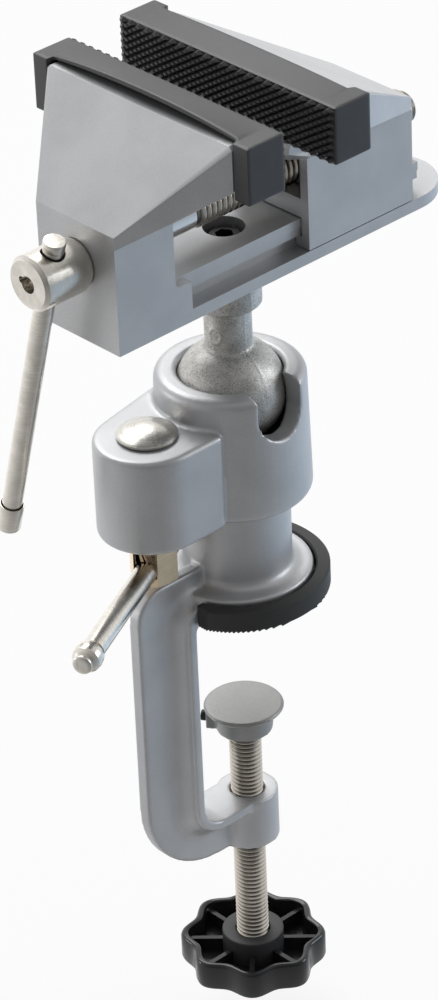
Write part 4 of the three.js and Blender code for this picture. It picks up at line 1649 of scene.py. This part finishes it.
@dataclass
class Studio:
    """A pale floor, soft lamps and the camera at the photograph's viewing angle."""

    sensor: float = 36.0
    near: float = 0.05
    azimuth: float = -41.941
    elevation: float = 31.808
    roll: float = -2.502
    distance: float = 1345.08
    target: Triple = (-0.765, 6.292, 26.721)
    lens: float = 163.89
    aim: Triple = (0.0, 0.0, 40.0)
    floor: float = -160.0
    floor_half: float = 4000.0
    ambient: float = 0.4
    bright_side: Triple = (0.423, 0.906, 0.0)
    middling: float = 0.73
    swing: float = 0.56
    sky: float = 0.94
    cool_side: Triple = (0.819, -0.574, 0.0)
    cool: Colour = (0.78, 1.0, 1.25)
    floor_white: float = 0.85

    def camera(self) -> None:
        """Sets up the camera."""
        turn, tilt = math.radians(self.azimuth), math.radians(self.elevation)
        right = Vector((math.cos(turn), math.sin(turn), 0.0))
        back = Vector((math.sin(turn) * math.cos(tilt), -math.cos(turn) * math.cos(tilt), math.sin(tilt)))
        up = back.cross(right)
        roll = math.radians(self.roll)
        sideways = math.cos(roll) * right + math.sin(roll) * up
        upright = -math.sin(roll) * right + math.cos(roll) * up
        data = bpy.data.cameras.new("camera")
        data.lens = self.lens
        data.sensor_width = self.sensor
        data.clip_start = self.near
        made = linked("camera", data)
        turned_to = Matrix((sideways, upright, back)).transposed().to_4x4()
        turned_to.translation = (Vector(self.target) + back * self.distance) * MM
        made.matrix_world = turned_to
        bpy.context.scene.camera = made

    @staticmethod
    def rays(graph: Graph) -> tuple[Signal, Signal]:
        """Tells rays apart.

        Args:
            graph: the tree to add to.

        Returns:
            1 for rays from the camera, and 1 for rays that were mirrored or let through.
        """
        path = graph.node("ShaderNodeLightPath").outputs
        kinds = ("Is Camera Ray", "Is Glossy Ray", "Is Transmission Ray")
        camera, glossy, through = (Signal(graph, path[kind]) for kind in kinds)
        return camera, glossy.most(through)

    def surroundings(self, graph: Graph, way: Signal) -> tuple[Signal, Signal]:
        """Gives what metal mirrors: bright behind the vise, dim before it, cool on the right.

        Args:
            graph: the tree to add to.
            way: the direction.

        Returns:
            The brightness and the colour.
        """

        def toward(side: Triple) -> Signal:
            """Gives how far the direction points to one side."""
            return graph.out("ShaderNodeVectorMath", {"operation": "DOT_PRODUCT"}, {0: way, 1: side}, "Value")

        bright = toward(self.bright_side) * self.swing + self.middling
        cool = toward(self.cool_side).between(0.2, 0.9)
        values = {0: cool, 6: WHITE, 7: (*self.cool, 1.0)}
        return bright, graph.out("ShaderNodeMix", {"data_type": "RGBA"}, values, 2)

    def world(self) -> None:
        """Makes the world light, which is white where it is seen."""
        world = bpy.data.worlds.new("studio")
        bpy.context.scene.world = world
        world.use_nodes = True
        graph = Graph(world.node_tree)
        graph.tree.nodes.clear()
        bright, _ = self.surroundings(graph, graph.out("ShaderNodeTexCoord", output="Generated"))
        camera, mirror = self.rays(graph)
        plain = mirror.mixed(self.ambient, bright * self.sky)
        values = {"Color": WHITE, "Strength": camera.mixed(plain, 1.0)}
        light = graph.out("ShaderNodeBackground", None, values)
        graph.node("ShaderNodeOutputWorld", None, {"Surface": light})

    def ground(self) -> None:
        """Makes the pale floor, which keeps the vise's shadow."""
        material = bpy.data.materials.new("pale floor")
        shader = Shader(material)
        way = shader.out("ShaderNodeVectorMath", {"operation": "NORMALIZE"}, {0: shader.place})
        bright, colour = self.surroundings(shader, way)
        camera, mirror = self.rays(shader)
        matt = shader.out("ShaderNodeBsdfDiffuse", None, {"Color": (0.9, 0.9, 0.9, 1.0)})
        tint = shader.out("ShaderNodeMix", {"data_type": "RGBA"}, {0: camera, 6: colour, 7: WHITE}, 2)
        white = shader.out("ShaderNodeEmission", None, {"Color": tint, "Strength": camera.mixed(bright, 1.0)})
        seen = camera.most(mirror) * self.floor_white
        mixed = shader.out("ShaderNodeMixShader", None, {0: seen, 1: matt, 2: white})
        shader.node("ShaderNodeOutputMaterial", None, {"Surface": mixed})
        corners = [(x * MM, y * MM, self.floor * MM) for x, y in square(self.floor_half)]
        mesh = bpy.data.meshes.new("floor")
        mesh.from_pydata(corners, [], [(0, 1, 2, 3)])
        mesh.materials.append(material)
        ground = linked("floor", mesh)

    def lamp(
        self, name: str, place: Triple, size: float, power: float, tint: Colour = (1.0, 1.0, 1.0)
    ) -> None:
        """Hangs one square soft lamp that faces the vise.

        Args:
            name: its name.
            place: where it is, in millimetres.
            size: its width, in millimetres.
            power: its power in watts.
            tint: its colour.
        """
        data = bpy.data.lights.new(name, "AREA")
        data.size = size * MM
        data.energy = power
        data.color = tint
        made = linked(name, data)
        made.location = Vector(place) * MM
        facing = Vector(self.aim) - Vector(place)
        made.rotation_euler = facing.to_track_quat("-Z", "Y").to_euler()

    def build(self) -> None:
        """Sets up camera, backdrop and lamps."""
        self.camera()
        self.world()
        self.ground()
        self.lamp("overhead", (250.0, 750.0, 1250.0), 1000.0, 12.5)
        self.lamp("left", (-900.0, 930.0, 120.0), 300.0, 1.6)
        self.lamp("right", (900.0, -700.0, 350.0), 500.0, 3.5, (0.9, 0.95, 1.0))


def main() -> None:
    """Builds the vise and its studio."""
    logging.basicConfig(level=logging.INFO, format="%(message)s")
    threads = ThreadRecipe()
    assemblies = [
        TableClamp(),
        ClampSpindle(threads),
        BallHousing(),
        LockingLever(),
        BallStem(),
        ViseHead(),
        JawCap("fixed_jaw_cap", Body.HEAD, face=-15.3, way=-1),
        JawCap("moving_jaw_cap", Body.JAW, face=1.8, way=1, lift=0.5, swell=0.3),
        LeadScrew(threads),
    ]
    for assembly in assemblies:
        for piece in assembly.build():
            piece.place()
    scene = bpy.context.scene
    scene.view_settings.view_transform = "Standard"
    Studio().build()


if __name__ == "__main__":
    main()
